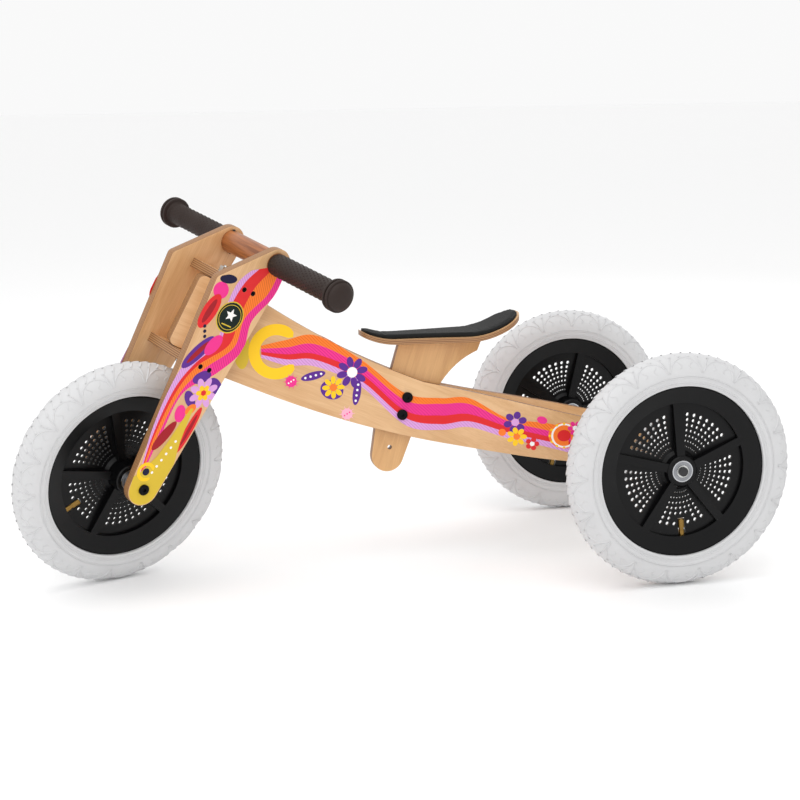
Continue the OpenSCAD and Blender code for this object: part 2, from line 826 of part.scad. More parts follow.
// the tyre ends in two beads inside the rim's edges
module tyre_part() {
    low = asin((rim_r + 1.5 - tyre_ring_r) / tyre_half_h);
    low_in = asin((rim_r + 4 - tyre_ring_r) / (tyre_half_h - tyre_wall));
    bead = rim_half_w - rim_lip_t - 0.1;
    edge = tyre_half_w * cos(low) - 2;
    n = 26;
    spin_x() polygon(concat(
        [[rim_seat_r + 0.2, bead - bead_w], [rim_seat_r + 0.2, bead], [rim_r + 0.3, bead]],
        [[rim_r + 0.3, edge]],
        [for (i = [0:n]) section(low + (180 - 2 * low) * i / n, 0)],
        [[rim_r + 0.3, -edge]],
        [[rim_r + 0.3, -bead], [rim_seat_r + 0.2, -bead], [rim_seat_r + 0.2, -bead + bead_w]],
        [[rim_r + 0.3, -bead + bead_w]],
        [for (i = [20:-1:0]) section(low_in + (180 - 2 * low_in) * i / 20, tyre_wall)],
        [[rim_r + 0.3, bead - bead_w]]
    ));
}

module tube_part() {
    w = tyre_wall + tube_gap;
    difference() {
        spin_x() difference() {
            polygon([for (i = [0:31]) tube_at(360 * i / 32, w)]);
            polygon([for (i = [0:31]) tube_at(360 * i / 32, w + tube_wall)]);
        }
        valve_at() translate([0, 0, rim_well_r]) cylinder(h = valve_in, r = valve_r);
    }
}

// places children on the valve's line: Z runs outwards from the axle
module valve_at() {
    rotate([rib_turn - 90 + (valve_panel + 0.5) * 360 / ribs, 0, 0]) children();
}

// the rim and the hub in half section, flush side at +X
module rim_section() {
    l = rim_lip_t;
    polygon([
        [disc_r, -cone_in], [disc_r, cone_in], [rim_r - 2, rim_half_w], [rim_r, rim_half_w - 0.6],
        [rim_r, rim_half_w - l], [rim_seat_r, rim_half_w - l], [rim_seat_r, rim_half_w - l - 4],
        [rim_well_r, rim_half_w - l - 6], [rim_well_r, -rim_half_w + l + 6],
        [rim_seat_r, -rim_half_w + l + 4], [rim_seat_r, -rim_half_w + l], [rim_r, -rim_half_w + l],
        [rim_r, -rim_half_w + 0.6], [rim_r - 2, -rim_half_w]
    ]);
    polygon([
        [hub_bore_r, -hub_long], [hub_bore_r, hub_short], [hub_r - 1.5, hub_short],
        [hub_r, hub_short - 1.5], [hub_r + 2, disc_t / 2 + 4], [hub_neck_r, disc_t / 2],
        [hub_neck_r, -disc_t / 2], [hub_r + 2, -disc_t / 2 - 4], [hub_r, -hub_long + 1.5],
        [hub_r - 1.5, -hub_long]
    ]);
}

// each ring of holes is a little wider than the one inside it; the holes that would meet the
// slot for the valve are left out
module panel_holes() {
    for (p = [0:ribs - 1], j = [0:hole_rings - 1], i = [0:holes_per_ring - 1]) {
        t = j / (hole_rings - 1);
        r = first_ring_r + j * ring_step;
        arc_l = (ring_arc_in + (ring_arc_out - ring_arc_in) * t) * 5 / ribs;
        a = arc_l * (i / (holes_per_ring - 1) - 0.5);
        clear = p != valve_panel || r < slot_in - 4 || r * abs(sin(a)) > slot_w / 2 + 3.5;
        if (clear)
            rotate(a + (p + 0.5) * 360 / ribs) translate([r, 0])
                circle(d = hole_d_in + (hole_d_out - hole_d_in) * t, $fn = 24);
    }
}

// the pierced disc lies between the hub's neck and the rim
module disc_slab() {
    rotate([0, 90, 0]) translate([0, 0, -disc_t / 2]) linear_extrude(disc_t)
        rotate(rib_turn + 90) difference() {
            circle(disc_r + 2, $fn = 180);
            circle(hub_neck_r - 2, $fn = 90);
            panel_holes();
            rotate((valve_panel + 0.5) * 360 / ribs)
                translate([slot_in, -slot_w / 2]) square([disc_r - slot_in, slot_w]);
        }
}

module rim_part() {
    difference() {
        union() {
            spin_x() rim_section();
            disc_slab();
            for (k = [0:ribs - 1]) rotate([rib_turn - 90 + 360 / ribs * k, 0, 0]) rib();
        }
        rod_x(hub_short - bearing_w, hub_short + 1, bearing_d / 2);
        rod_x(-hub_long - 1, -hub_long + bearing_w, bearing_d / 2);
        valve_at() translate([0, 0, slot_in]) cylinder(h = rim_r, r = valve_hole_r);
    }
}

// one rib, standing up both faces of the disc along +Z
module rib() {
    translate([0, -rib_w / 2, 0]) rotate([0, -90, -90]) linear_extrude(rib_w) polygon([
        [hub_r - 4, -disc_t / 2 - 11], [disc_r + 3, -cone_in], [disc_r + 3, cone_in],
        [hub_r - 4, hub_short - 2]
    ]);
}

module outer_rings_part() {
    for (x = [hub_short - bearing_w, -hub_long]) translate([x, 0, 0]) spin_x() difference() {
        translate([outer_ring_r, 0]) square([bearing_d / 2 - outer_ring_r, bearing_w]);
        translate([pitch_r, bearing_w / 2]) circle(groove_r);
        translate([outer_ring_r - 1, -1]) square([2, 1 + shield_t]);
        translate([outer_ring_r - 1, bearing_w - shield_t]) square([2, 1 + shield_t]);
    }
}

module inner_rings_part() {
    for (x = [hub_short - bearing_w, -hub_long]) translate([x, 0, 0]) spin_x() difference() {
        translate([axle_r, 0]) square([inner_ring_r - axle_r, bearing_w]);
        translate([pitch_r, bearing_w / 2]) circle(groove_r);
    }
}

module shields_part() {
    for (x = [hub_short - bearing_w, -hub_long], side = [0, 1])
        translate([x + side * (bearing_w - shield_t), 0, 0])
            tube_x(0, shield_t, outer_ring_r + 1, inner_ring_r + ball_gap);
}

module balls_part() {
    for (x = [hub_short - bearing_w, -hub_long], k = [0:balls - 1])
        translate([x + bearing_w / 2, 0, 0]) rotate([360 / balls * k, 0, 0])
            translate([0, 0, pitch_r]) sphere(ball_r);
}

module valve_part() {
    valve_at() union() {
        translate([0, 0, valve_tip]) cylinder(h = rim_well_r - valve_tip, r = valve_r - 0.6);
        translate([0, 0, valve_tip + 9]) cylinder(h = rim_well_r + valve_in - valve_tip - 9, r = valve_r);
        translate([0, 0, valve_tip - 4]) cylinder(h = 5, r = valve_r - 1.4);
    }
}

module valve_cap_part() {
    valve_at() translate([0, 0, valve_tip - 6]) difference() {
        union() {
            translate([0, 0, 1]) cylinder(h = valve_cap_l - 1, r = valve_r + 0.4);
            cylinder(h = 1, r1 = valve_r - 0.6, r2 = valve_r + 0.4);
        }
        translate([0, 0, 6]) cylinder(h = 20, r = valve_r - 0.6);
        translate([0, 0, 1.9]) cylinder(h = 20, r = valve_r - 1.4);
    }
}

module front_tyre() { color("whitesmoke") at_front_wheel() tyre_part(); }
module front_tube() { color("black") at_front_wheel() tube_part(); }
module front_rim() { color("black") at_front_wheel() rim_part(); }
module front_outer_rings() { color("silver") at_front_wheel() outer_rings_part(); }
module front_inner_rings() { color("silver") at_front_wheel() inner_rings_part(); }
module front_balls() { color("silver") at_front_wheel() balls_part(); }
module front_shields() { color("gray") at_front_wheel() shields_part(); }
module front_valve() { color("goldenrod") at_front_wheel() valve_part(); }
module front_valve_cap() { color("goldenrod") at_front_wheel() valve_cap_part(); }

module left_tyre() { color("whitesmoke") at_left_wheel() tyre_part(); }
module left_tube() { color("black") at_left_wheel() tube_part(); }
module left_rim() { color("black") at_left_wheel() rim_part(); }
module left_outer_rings() { color("silver") at_left_wheel() outer_rings_part(); }
module left_inner_rings() { color("silver") at_left_wheel() inner_rings_part(); }
module left_balls() { color("silver") at_left_wheel() balls_part(); }
module left_shields() { color("gray") at_left_wheel() shields_part(); }
module left_valve() { color("goldenrod") at_left_wheel() valve_part(); }
module left_valve_cap() { color("goldenrod") at_left_wheel() valve_cap_part(); }

module right_tyre() { color("whitesmoke") at_right_wheel() tyre_part(); }
module right_tube() { color("black") at_right_wheel() tube_part(); }
module right_rim() { color("black") at_right_wheel() rim_part(); }
module right_outer_rings() { color("silver") at_right_wheel() outer_rings_part(); }
module right_inner_rings() { color("silver") at_right_wheel() inner_rings_part(); }
module right_balls() { color("silver") at_right_wheel() balls_part(); }
module right_shields() { color("gray") at_right_wheel() shields_part(); }
module right_valve() { color("goldenrod") at_right_wheel() valve_part(); }
module right_valve_cap() { color("goldenrod") at_right_wheel() valve_cap_part(); }

frame_arm_left();
frame_arm_right();
head_filler();
head_tube();
head_bush_upper();
head_bush_lower();
rear_axle();
axle_cross_tube();
axle_side_spacers();
axle_clips();
rear_hub_sleeves();
seat_post();
seat_bolts();
seat_nuts();
seat_board();
seat_pad();
seat_screws();
fork_blade_left();
fork_blade_right();
crown_board_upper();
crown_board_lower();
crown_screws();
handlebar();
handlebar_pins();
grip_left();
grip_right();
steering_bolt();
steering_nut();
front_axle();
front_axle_bolts();
front_axle_spacers();
front_hub_sleeve();
front_tyre();
front_tube();
front_rim();
front_outer_rings();
front_inner_rings();
front_balls();
front_shields();
front_valve();
front_valve_cap();
left_tyre();
left_tube();
left_rim();
left_outer_rings();
left_inner_rings();
left_balls();
left_shields();
left_valve();
left_valve_cap();
right_tyre();
right_tube();
right_rim();
right_outer_rings();
right_inner_rings();
right_balls();
right_shields();
right_valve();
right_valve_cap();
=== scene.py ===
import json
from math import cos, hypot, pi, radians, sin, sqrt, tan

import bmesh
import bpy
from mathutils import Matrix, Vector


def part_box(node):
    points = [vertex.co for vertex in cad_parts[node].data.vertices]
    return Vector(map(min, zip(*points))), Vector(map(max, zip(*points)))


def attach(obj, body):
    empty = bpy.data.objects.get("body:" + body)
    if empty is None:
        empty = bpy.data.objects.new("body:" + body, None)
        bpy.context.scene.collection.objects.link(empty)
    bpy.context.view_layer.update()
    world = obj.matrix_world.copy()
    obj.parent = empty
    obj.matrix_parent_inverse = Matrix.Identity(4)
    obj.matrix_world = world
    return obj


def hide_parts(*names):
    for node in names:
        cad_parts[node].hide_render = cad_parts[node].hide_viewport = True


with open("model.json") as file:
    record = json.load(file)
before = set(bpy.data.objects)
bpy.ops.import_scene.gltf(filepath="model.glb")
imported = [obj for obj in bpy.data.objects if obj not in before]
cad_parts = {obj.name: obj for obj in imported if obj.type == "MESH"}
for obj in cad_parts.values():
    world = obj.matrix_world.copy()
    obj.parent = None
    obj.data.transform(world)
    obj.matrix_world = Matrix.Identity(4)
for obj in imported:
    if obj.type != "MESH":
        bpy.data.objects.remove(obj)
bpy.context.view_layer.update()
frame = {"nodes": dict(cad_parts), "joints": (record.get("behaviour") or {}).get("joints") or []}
nodes = frame["nodes"]
joint_at = {j["name"]: Vector(j["pos_m"]) for j in frame["joints"]}

# ---- frame arms and head filler ----
# Two birch plywood arms lie against a plywood filler at the head, and bend apart behind the
# seat post. They are cut from 12 mm plywood, their edges are rounded over and left bare, and
# the whole is glued up and sealed with a clear satin lacquer.
MM = 0.001
ARM_MIDDLE = 12 * MM
ARM_SPREAD = 42 * MM
SPREAD_FROM, SPREAD_TO = 86.783 * MM, 286.783 * MM
ARM_EDGE_ROUND = 1.1 * MM
PLY_STEP = 1.333 * MM
BIRCH_PALE = (226, 184, 136)
BIRCH_WARM = (204, 156, 106)
PLY_DARK = (118, 78, 46)
PLY_LIGHT = (176, 130, 84)


def srgb(r, g, b, a=1.0):
    """a paint-chart colour, 0 to 255, as the linear colour that a shader takes"""
    def linear(c):
        c = c / 255
        return c / 12.92 if c <= 0.04045 else ((c + 0.055) / 1.055) ** 2.4
    return (linear(r), linear(g), linear(b), a)


def finish(name, colour, roughness, **sockets):
    """a material with its Principled shader's own sockets set"""
    mat = bpy.data.materials.new(name)
    mat.use_nodes = True
    shader = mat.node_tree.nodes["Principled BSDF"]
    shader.inputs["Base Color"].default_value = srgb(*colour)
    shader.inputs["Roughness"].default_value = roughness
    for key, value in sockets.items():
        shader.inputs[key.replace("_", " ")].default_value = value
    mat.diffuse_color = srgb(*colour)
    return mat


def step(mat, kind, inputs, **settings):
    """one texture or math step; inputs are values or another step's output"""
    made = mat.node_tree.nodes.new("ShaderNode" + kind)
    for key, value in settings.items():
        setattr(made, key, value)
    for key, value in inputs.items():
        if isinstance(value, bpy.types.NodeSocket):
            mat.node_tree.links.new(value, made.inputs[key])
        else:
            made.inputs[key].default_value = value
    return made


def sum_of(mat, operation, *values, clamp=False):
    return step(mat, "Math", dict(enumerate(values)), operation=operation,
                use_clamp=clamp).outputs[0]


def shade(mat, socket, value):
    mat.node_tree.links.new(value, mat.node_tree.nodes["Principled BSDF"].inputs[socket])


def between(mat, factor, first, second):
    """one colour passing into another; a colour is three numbers or another step's output"""
    pick = [c if isinstance(c, bpy.types.NodeSocket) else srgb(*c) for c in (first, second)]
    return step(mat, "MixRGB", {0: factor, 1: pick[0], 2: pick[1]}).outputs[0]


def relief(mat, height, distance, strength=1.0):
    bump = step(mat, "Bump", {"Height": height, "Distance": distance, "Strength": strength})
    shade(mat, "Normal", bump.outputs[0])


def board_axes(along, through):
    """the turn that lays x along a board's grain and z through its thickness"""
    z = Vector(through).normalized()
    x = (Vector(along) - z * Vector(along).dot(z)).normalized()
    return Matrix((x, z.cross(x), z)).transposed().to_euler()


def plywood(name, along, through, middle=(0, 0, 0), layer_at=None, pale=BIRCH_PALE,
            warm=BIRCH_WARM, edge_dark=PLY_DARK, edge_light=PLY_LIGHT, ply=PLY_STEP):
    """birch plywood: rotary-cut veneer on the faces, thin layers with glue lines on the edges"""
    mat = finish(name, pale, 0.38, Coat_Weight=0.25, Coat_Roughness=0.2)
    place = step(mat, "TexCoord", {})
    local = step(mat, "Mapping", {"Vector": place.outputs["Object"], "Location": middle,
                                  "Rotation": board_axes(along, through)},
                 vector_type="TEXTURE").outputs[0]
    grain = step(mat, "Mapping", {"Vector": local, "Scale": (5, 60, 40)}).outputs[0]
    figure = step(mat, "TexNoise", {"Vector": grain, "Scale": 1.0, "Detail": 4, "Roughness": 0.6,
                                    "Distortion": 0.9}).outputs["Fac"]
    fibre_at = step(mat, "Mapping", {"Vector": local, "Scale": (40, 1500, 600)}).outputs[0]
    fibre = step(mat, "TexNoise", {"Vector": fibre_at, "Scale": 1.0, "Detail": 2}).outputs["Fac"]
    cloud = step(mat, "TexNoise", {"Vector": local, "Scale": 9.0, "Detail": 1}).outputs["Fac"]
    mixed = sum_of(mat, "ADD", sum_of(mat, "MULTIPLY", figure, 0.62),
                   sum_of(mat, "MULTIPLY", fibre, 0.38))
    mixed = sum_of(mat, "ADD", mixed, sum_of(mat, "MULTIPLY_ADD", cloud, 0.5, -0.25))
    tone = step(mat, "MapRange", {0: mixed, 1: 0.36, 2: 0.66, 3: 0.0, 4: 1.0}).outputs[0]
    face = between(mat, tone, pale, warm)
    through_at = step(mat, "SeparateXYZ", {0: local}).outputs[2] if layer_at is None else layer_at(mat)
    layer = sum_of(mat, "PINGPONG", sum_of(mat, "DIVIDE", through_at, ply), 1.0)
    layer = step(mat, "MapRange", {0: layer, 1: 0.35, 2: 0.65, 3: 0.0, 4: 1.0}).outputs[0]
    edge_tone = sum_of(mat, "ADD", layer, sum_of(mat, "MULTIPLY_ADD", fibre, 0.5, -0.25), clamp=True)
    edge = between(mat, edge_tone, edge_dark, edge_light)
    lean = step(mat, "VectorMath", {0: place.outputs["Normal"], 1: Vector(through).normalized()},
                operation="DOT_PRODUCT").outputs["Value"]
    on_face = step(mat, "MapRange", {0: sum_of(mat, "ABSOLUTE", lean), 1: 0.72, 2: 0.9, 3: 0.0,
                                     4: 1.0}).outputs[0]
    shade(mat, "Base Color", between(mat, on_face, edge, face))
    shade(mat, "Roughness", step(mat, "MapRange", {0: on_face, 1: 0, 2: 1, 3: 0.6, 4: 0.36}).outputs[0])
    relief(mat, sum_of(mat, "ADD", fibre, layer), 0.05 * MM, 0.35)
    return mat


def arm_layers(mat):
    """distance from the middle of a bent arm, which its layers follow"""
    at = step(mat, "SeparateXYZ", {0: step(mat, "TexCoord", {}).outputs["Object"]})
    bend = step(mat, "MapRange", {0: at.outputs[1], 1: SPREAD_FROM, 2: SPREAD_TO, 3: ARM_MIDDLE,
                                  4: ARM_MIDDLE + ARM_SPREAD}, interpolation_type="SMOOTHSTEP")
    return sum_of(mat, "SUBTRACT", sum_of(mat, "ABSOLUTE", at.outputs[0]), bend.outputs[0])


def worked_copy(node, name, body, slot, mat, edge_round, steps=3, sharp=35):
    """a merged copy of a CAD node with its sharp edges rounded over"""
    bm = bmesh.new()
    bm.from_mesh(nodes[node].data)
    bmesh.ops.remove_doubles(bm, verts=bm.verts[:], dist=1e-6)
    bmesh.ops.dissolve_limit(bm, angle_limit=radians(0.5), verts=bm.verts[:], edges=bm.edges[:],
                             use_dissolve_boundaries=False)
    corners = [e for e in bm.edges if len(e.link_faces) == 2
               and e.calc_face_angle() > radians(sharp)]
    if edge_round:
        bmesh.ops.bevel(bm, geom=corners, offset=edge_round, offset_type="OFFSET", segments=steps,
                        affect="EDGES", profile=0.5, material=-1, clamp_overlap=True)
    return piece(bm, name, body, slot, mat, node)


def piece(bm, name, body, slot, mats, *stands_for, smooth=30):
    """a finished mesh as a piece that rides on its body"""
    for face in bm.faces:
        face.smooth = True
    for edge in bm.edges:
        edge.smooth = len(edge.link_faces) == 2 and edge.calc_face_angle() < radians(smooth)
    mesh = bpy.data.meshes.new(name)
    bm.to_mesh(mesh)
    bm.free()
    for mat in mats if isinstance(mats, (list, tuple)) else [mats]:
        mesh.materials.append(mat)
    made = bpy.data.objects.new(name, mesh)
    bpy.context.scene.collection.objects.link(made)
    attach(made, body)
    if stands_for:
        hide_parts(*stands_for)
    return made


def coat(mat, *names):
    """a CAD node keeps its shape and takes this material"""
    for name in names:
        nodes[name].data.materials.clear()
        nodes[name].data.materials.append(mat)


arm_ply = plywood("arm_plywood", (0, cos(radians(24)), -sin(radians(24))), (1, 0, 0),
                  layer_at=arm_layers)
worked_copy("frame_arm_left", "arm_left", "frame", "birch_ply", arm_ply, ARM_EDGE_ROUND)
worked_copy("frame_arm_right", "arm_right", "frame", "birch_ply", arm_ply, ARM_EDGE_ROUND)
filler_ply = plywood("filler_plywood", (0, cos(radians(28)), -sin(radians(28))), (1, 0, 0))
worked_copy("head_filler", "filler_block", "frame", "birch_ply", filler_ply, 0.5 * MM)

# ---- head tube and bushes ----
# A drawn steel tube is bonded into the bore of the head. A black nylon bush with a thin flange
# is pressed into each end, and the steering bolt turns in the two of them.


def metal(name, colour, roughness, scratch=900, bump=0.02):
    """turned or drawn metal with fine rings of tooling and patches that are a little duller"""
    mat = finish(name, colour, roughness, Metallic=1.0)
    place = step(mat, "TexCoord", {}).outputs["Object"]
    fine = step(mat, "TexNoise", {"Vector": place, "Scale": scratch, "Detail": 3}).outputs["Fac"]
    dull = step(mat, "TexNoise", {"Vector": place, "Scale": 60.0, "Detail": 2}).outputs["Fac"]
    shade(mat, "Base Color", between(mat, dull, colour, [int(c * 0.86) for c in colour]))
    shade(mat, "Roughness", step(mat, "MapRange", {0: dull, 1: 0.3, 2: 0.7, 3: roughness * 0.8,
                                                   4: roughness * 1.3}).outputs[0])
    relief(mat, fine, bump * MM, 0.5)
    return mat


def moulded(name, colour, roughness, grain=1400, depth=0.03, **sockets):
    """moulded plastic or rubber with a fine spark-eroded skin"""
    mat = finish(name, colour, roughness, **sockets)
    place = step(mat, "TexCoord", {}).outputs["Object"]
    skin = step(mat, "TexNoise", {"Vector": place, "Scale": grain, "Detail": 2}).outputs["Fac"]
    worn = step(mat, "TexNoise", {"Vector": place, "Scale": 35.0, "Detail": 3}).outputs["Fac"]
    shade(mat, "Base Color", between(mat, sum_of(mat, "MULTIPLY", worn, 0.5), colour,
                                     [int(c * 0.9 + 4) for c in colour]))
    shade(mat, "Roughness", step(mat, "MapRange", {0: worn, 1: 0.3, 2: 0.7, 3: roughness * 0.85,
                                                   4: roughness * 1.15}).outputs[0])
    relief(mat, skin, depth * MM, 0.6)
    return mat


drawn_steel = metal("drawn_steel", (190, 192, 194), 0.3)
black_nylon = moulded("black_nylon", (24, 24, 25), 0.45)
coat(drawn_steel, "head_tube")
coat(black_nylon, "head_bush_upper", "head_bush_lower")

# ---- rear axle ----
# A blackened 12 mm rod runs through both wheels. An aluminium cross tube keeps the arms apart,
# aluminium spacers stand between arms and hubs, and a spring clip holds each wheel on.
blackened = metal("blackened_rod", (70, 70, 72), 0.42)
aluminium = metal("satin_aluminium", (214, 215, 216), 0.34)
bright_zinc = metal("bright_zinc", (205, 206, 204), 0.22)
coat(blackened, "rear_axle")
coat(aluminium, "axle_cross_tube", "axle_side_spacers", "rear_hub_sleeves")
coat(bright_zinc, "axle_clips")

# ---- seat post and its bolts ----
# One plywood blade stands between the arms with a row of height holes. Two steel bolts with
# black caps clamp it through sleeve nuts.
post_ply = plywood("post_plywood", (0, sin(radians(17.8)), cos(radians(17.8))), (1, 0, 0),
                   pale=(220, 172, 116), warm=(198, 148, 94))
worked_copy("seat_post", "post", "frame", "birch_ply", post_ply, 0.9 * MM)
black_caps = metal("black_oxide", (30, 30, 32), 0.36)
coat(black_caps, "seat_bolts", "seat_nuts")

# ---- seat board, pad and screws ----
# The board is 7 mm plywood pressed into a shallow curve and screwed down to the post. A thin
# foam pad in black cloth is bonded to it, a little inside its edge.
POST_Y, SEAT_Z = 29.783 * MM, 302.708 * MM
FLAT_FROM, FLAT_TO = POST_Y - 9 * MM, POST_Y + 88 * MM
NOSE_RUN, NOSE_CURL = 48 * MM, 12 * MM
TAIL_RUN, TAIL_CURL = 76 * MM, 28.5 * MM


def board_layers(mat):
    """height over the underside of the seat board, which its layers follow"""
    at = step(mat, "SeparateXYZ", {0: step(mat, "TexCoord", {}).outputs["Object"]})
    nose = sum_of(mat, "POWER", step(mat, "MapRange", {0: at.outputs[1], 1: FLAT_FROM,
                  2: FLAT_FROM - NOSE_RUN, 3: 0.0, 4: 1.0}).outputs[0], 2.0)
    tail = sum_of(mat, "POWER", step(mat, "MapRange", {0: at.outputs[1], 1: FLAT_TO,
                  2: FLAT_TO + TAIL_RUN, 3: 0.0, 4: 1.0}).outputs[0], 1.9)
    curl = sum_of(mat, "ADD", sum_of(mat, "MULTIPLY", nose, NOSE_CURL),
                  sum_of(mat, "MULTIPLY", tail, TAIL_CURL))
    return sum_of(mat, "SUBTRACT", sum_of(mat, "SUBTRACT", at.outputs[2], curl), SEAT_Z)


seat_ply = plywood("seat_plywood", (0, 1, 0), (0, 0, 1), layer_at=board_layers, ply=1.17 * MM)
worked_copy("seat_board", "seat_board_bent", "frame", "birch_ply", seat_ply, 0.8 * MM)
coat(bright_zinc, "seat_screws")


def seat_cloth():
    """black woven cover cloth, tight over foam, with a soft nap"""
    mat = finish("pad_cloth_black", (14, 14, 15), 0.85, Specular_IOR_Level=0.3, Sheen_Weight=0.05,
                 Sheen_Roughness=0.5)
    place = step(mat, "TexCoord", {}).outputs["Object"]
    warp = step(mat, "TexWave", {"Vector": place, "Scale": 420.0, "Distortion": 0.6},
                bands_direction="X").outputs["Fac"]
    weft = step(mat, "TexWave", {"Vector": place, "Scale": 420.0, "Distortion": 0.6},
                bands_direction="Y").outputs["Fac"]
    weave = sum_of(mat, "MULTIPLY", warp, weft)
    nap = step(mat, "TexNoise", {"Vector": place, "Scale": 700.0, "Detail": 3}).outputs["Fac"]
    cloud = step(mat, "TexNoise", {"Vector": place, "Scale": 30.0, "Detail": 2}).outputs["Fac"]
    tone = sum_of(mat, "ADD", sum_of(mat, "MULTIPLY", weave, 0.6), sum_of(mat, "MULTIPLY", cloud, 0.5))
    shade(mat, "Base Color", between(mat, tone, (7, 8, 7), (24, 25, 25)))
    relief(mat, sum_of(mat, "ADD", weave, nap), 0.12 * MM, 0.7)
    return mat


def swollen_pad(cap=1.2 * MM):
    """the foam under its cloth: the pad's own outline, remeshed and swelled a little by Cloth"""
    bm = bmesh.new()
    bm.from_mesh(nodes["seat_pad"].data)
    bmesh.ops.remove_doubles(bm, verts=bm.verts[:], dist=1e-6)
    made = piece(bm, "saddle_pad", "frame", "pad_cloth", seat_cloth(), "seat_pad")
    bpy.context.view_layer.objects.active = made
    inward = made.modifiers.new("inward", "DISPLACE")
    inward.strength = -0.3 * MM
    inward.mid_level = 0.0
    voxels = made.modifiers.new("voxels", "REMESH")
    voxels.mode = "VOXEL"
    voxels.voxel_size = 1.7 * MM
    depsgraph = bpy.context.evaluated_depsgraph_get()
    start = bpy.data.meshes.new_from_object(made.evaluated_get(depsgraph))
    made.modifiers.clear()
    held = made.data
    made.data = start
    made.data.materials.clear()
    made.data.materials.append(held.materials[0])
    bpy.data.meshes.remove(held)
    rest = [v.co.copy() for v in made.data.vertices]
    cloth = made.modifiers.new("cloth", "CLOTH")
    cloth.settings.use_pressure = True
    cloth.settings.uniform_pressure_force = 4.0
    cloth.settings.effector_weights.gravity = 0
    cloth.settings.quality = 4
    for number in range(1, 21):
        bpy.context.scene.frame_set(number)
    depsgraph = bpy.context.evaluated_depsgraph_get()
    swelled = made.evaluated_get(depsgraph).data
    ends = [v.co.copy() for v in swelled.vertices]
    made.modifiers.remove(cloth)
    bpy.context.scene.frame_set(1)
    for vert, a, b in zip(made.data.vertices, rest, ends):
        move = b - a
        if move.length > cap:
            move *= cap / move.length
        vert.co = a + move
    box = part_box("seat_pad")
    for vert in made.data.vertices:
        vert.co.z = min(vert.co.z, box[1].z + 1.5 * MM)
    for poly in made.data.polygons:
        poly.use_smooth = True
    soft = made.modifiers.new("soft", "SUBSURF")
    soft.levels = soft.render_levels = 1
    return made


swollen_pad()

# ---- fork blades, crown boards and crown screws ----
# Two plywood blades carry the handlebar at the top and the front axle at the foot. Two crown
# boards between them, each held by wood screws through the blades, turn with the fork.
TILT, TURN = radians(28), radians(25)
fork_place = (Matrix.Translation(joint_at["steering"]) @ Matrix.Rotation(-TILT, 4, "X")
              @ Matrix.Rotation(TURN, 4, "Z"))
fork_turn = fork_place.to_3x3()
FORK_SIDE, FORK_UP = (fork_turn @ Vector(a) for a in ((1, 0, 0), (0, 0, 1)))
BLADE_FACE = 63 * MM
near_ply = plywood("blade_plywood_left", FORK_UP, FORK_SIDE, middle=fork_place @ Vector((0.057, 0, 0)))
far_ply = plywood("blade_plywood_right", FORK_UP, FORK_SIDE, middle=fork_place @ Vector((-0.057, 0, 0)))
worked_copy("fork_blade_left", "blade_left", "fork", "birch_ply", near_ply, ARM_EDGE_ROUND)
worked_copy("fork_blade_right", "blade_right", "fork", "birch_ply", far_ply, ARM_EDGE_ROUND)
for level, drop in (("upper", 47 * MM), ("lower", 160 * MM)):
    crown_ply = plywood("crown_plywood_" + level, FORK_SIDE, FORK_UP,
                        middle=fork_place @ Vector((0, 0, -drop)))
    worked_copy("crown_board_" + level, "crown_" + level, "fork", "birch_ply", crown_ply, 0.6 * MM)
coat(black_caps, "crown_screws")

# ---- handlebar and grips ----
# The bar is an oiled hardwood dowel, stopped by a steel pin inside each blade. Soft brown-black
# rubber grips with raised dots slide over its turned-down ends.
BAR_BACK = 25 * MM
GRIP_R, COLLAR_R, GRIP_END, BORE_R = 14.5 * MM, 21 * MM, 217 * MM, 11 * MM


def oiled_dowel():
    mat = finish("oiled_dowel", (150, 88, 46), 0.42, Coat_Weight=0.2, Coat_Roughness=0.3)
    place = step(mat, "TexCoord", {}).outputs["Object"]
    local = step(mat, "Mapping", {"Vector": place, "Location": fork_place @ Vector((0, BAR_BACK, 0)),
                                  "Rotation": board_axes(FORK_SIDE, FORK_UP)},
                 vector_type="TEXTURE").outputs[0]
    long_grain = step(mat, "Mapping", {"Vector": local, "Scale": (14, 260, 260)}).outputs[0]
    streak = step(mat, "TexNoise", {"Vector": long_grain, "Scale": 1.0, "Detail": 5,
                                    "Distortion": 0.5}).outputs["Fac"]
    pores_at = step(mat, "Mapping", {"Vector": local, "Scale": (90, 1800, 1800)}).outputs[0]
    pores = step(mat, "TexNoise", {"Vector": pores_at, "Scale": 1.0, "Detail": 1}).outputs["Fac"]
    tone = step(mat, "MapRange", {0: streak, 1: 0.35, 2: 0.68, 3: 0.0, 4: 1.0}).outputs[0]
    base = between(mat, tone, (176, 108, 58), (122, 68, 32))
    dark = step(mat, "MapRange", {0: pores, 1: 0.62, 2: 0.75, 3: 0.0, 4: 0.5}).outputs[0]
    shade(mat, "Base Color", between(mat, dark, base, (80, 42, 20)))
    relief(mat, sum_of(mat, "SUBTRACT", streak, pores), 0.06 * MM, 0.4)
    return mat


worked_copy("handlebar", "dowel", "fork", "oiled_dowel", oiled_dowel(), 0.6 * MM)
coat(blackened, "handlebar_pins")
grip_rubber = moulded("grip_rubber_brown", (46, 35, 31), 0.6, grain=900, depth=0.05,
                      Specular_IOR_Level=0.25)


def lathe(bm, outline, steps=72):
    """spins an outline of (distance along X, radius) into a closed skin about the X axis"""
    verts = [bm.verts.new((x, 0, r)) for x, r in outline]
    edges = [bm.edges.new(pair) for pair in zip(verts, verts[1:])]
    bmesh.ops.spin(bm, geom=verts + edges, cent=(0, 0, 0), axis=(1, 0, 0), angle=2 * pi,
                   steps=steps, use_merge=True)


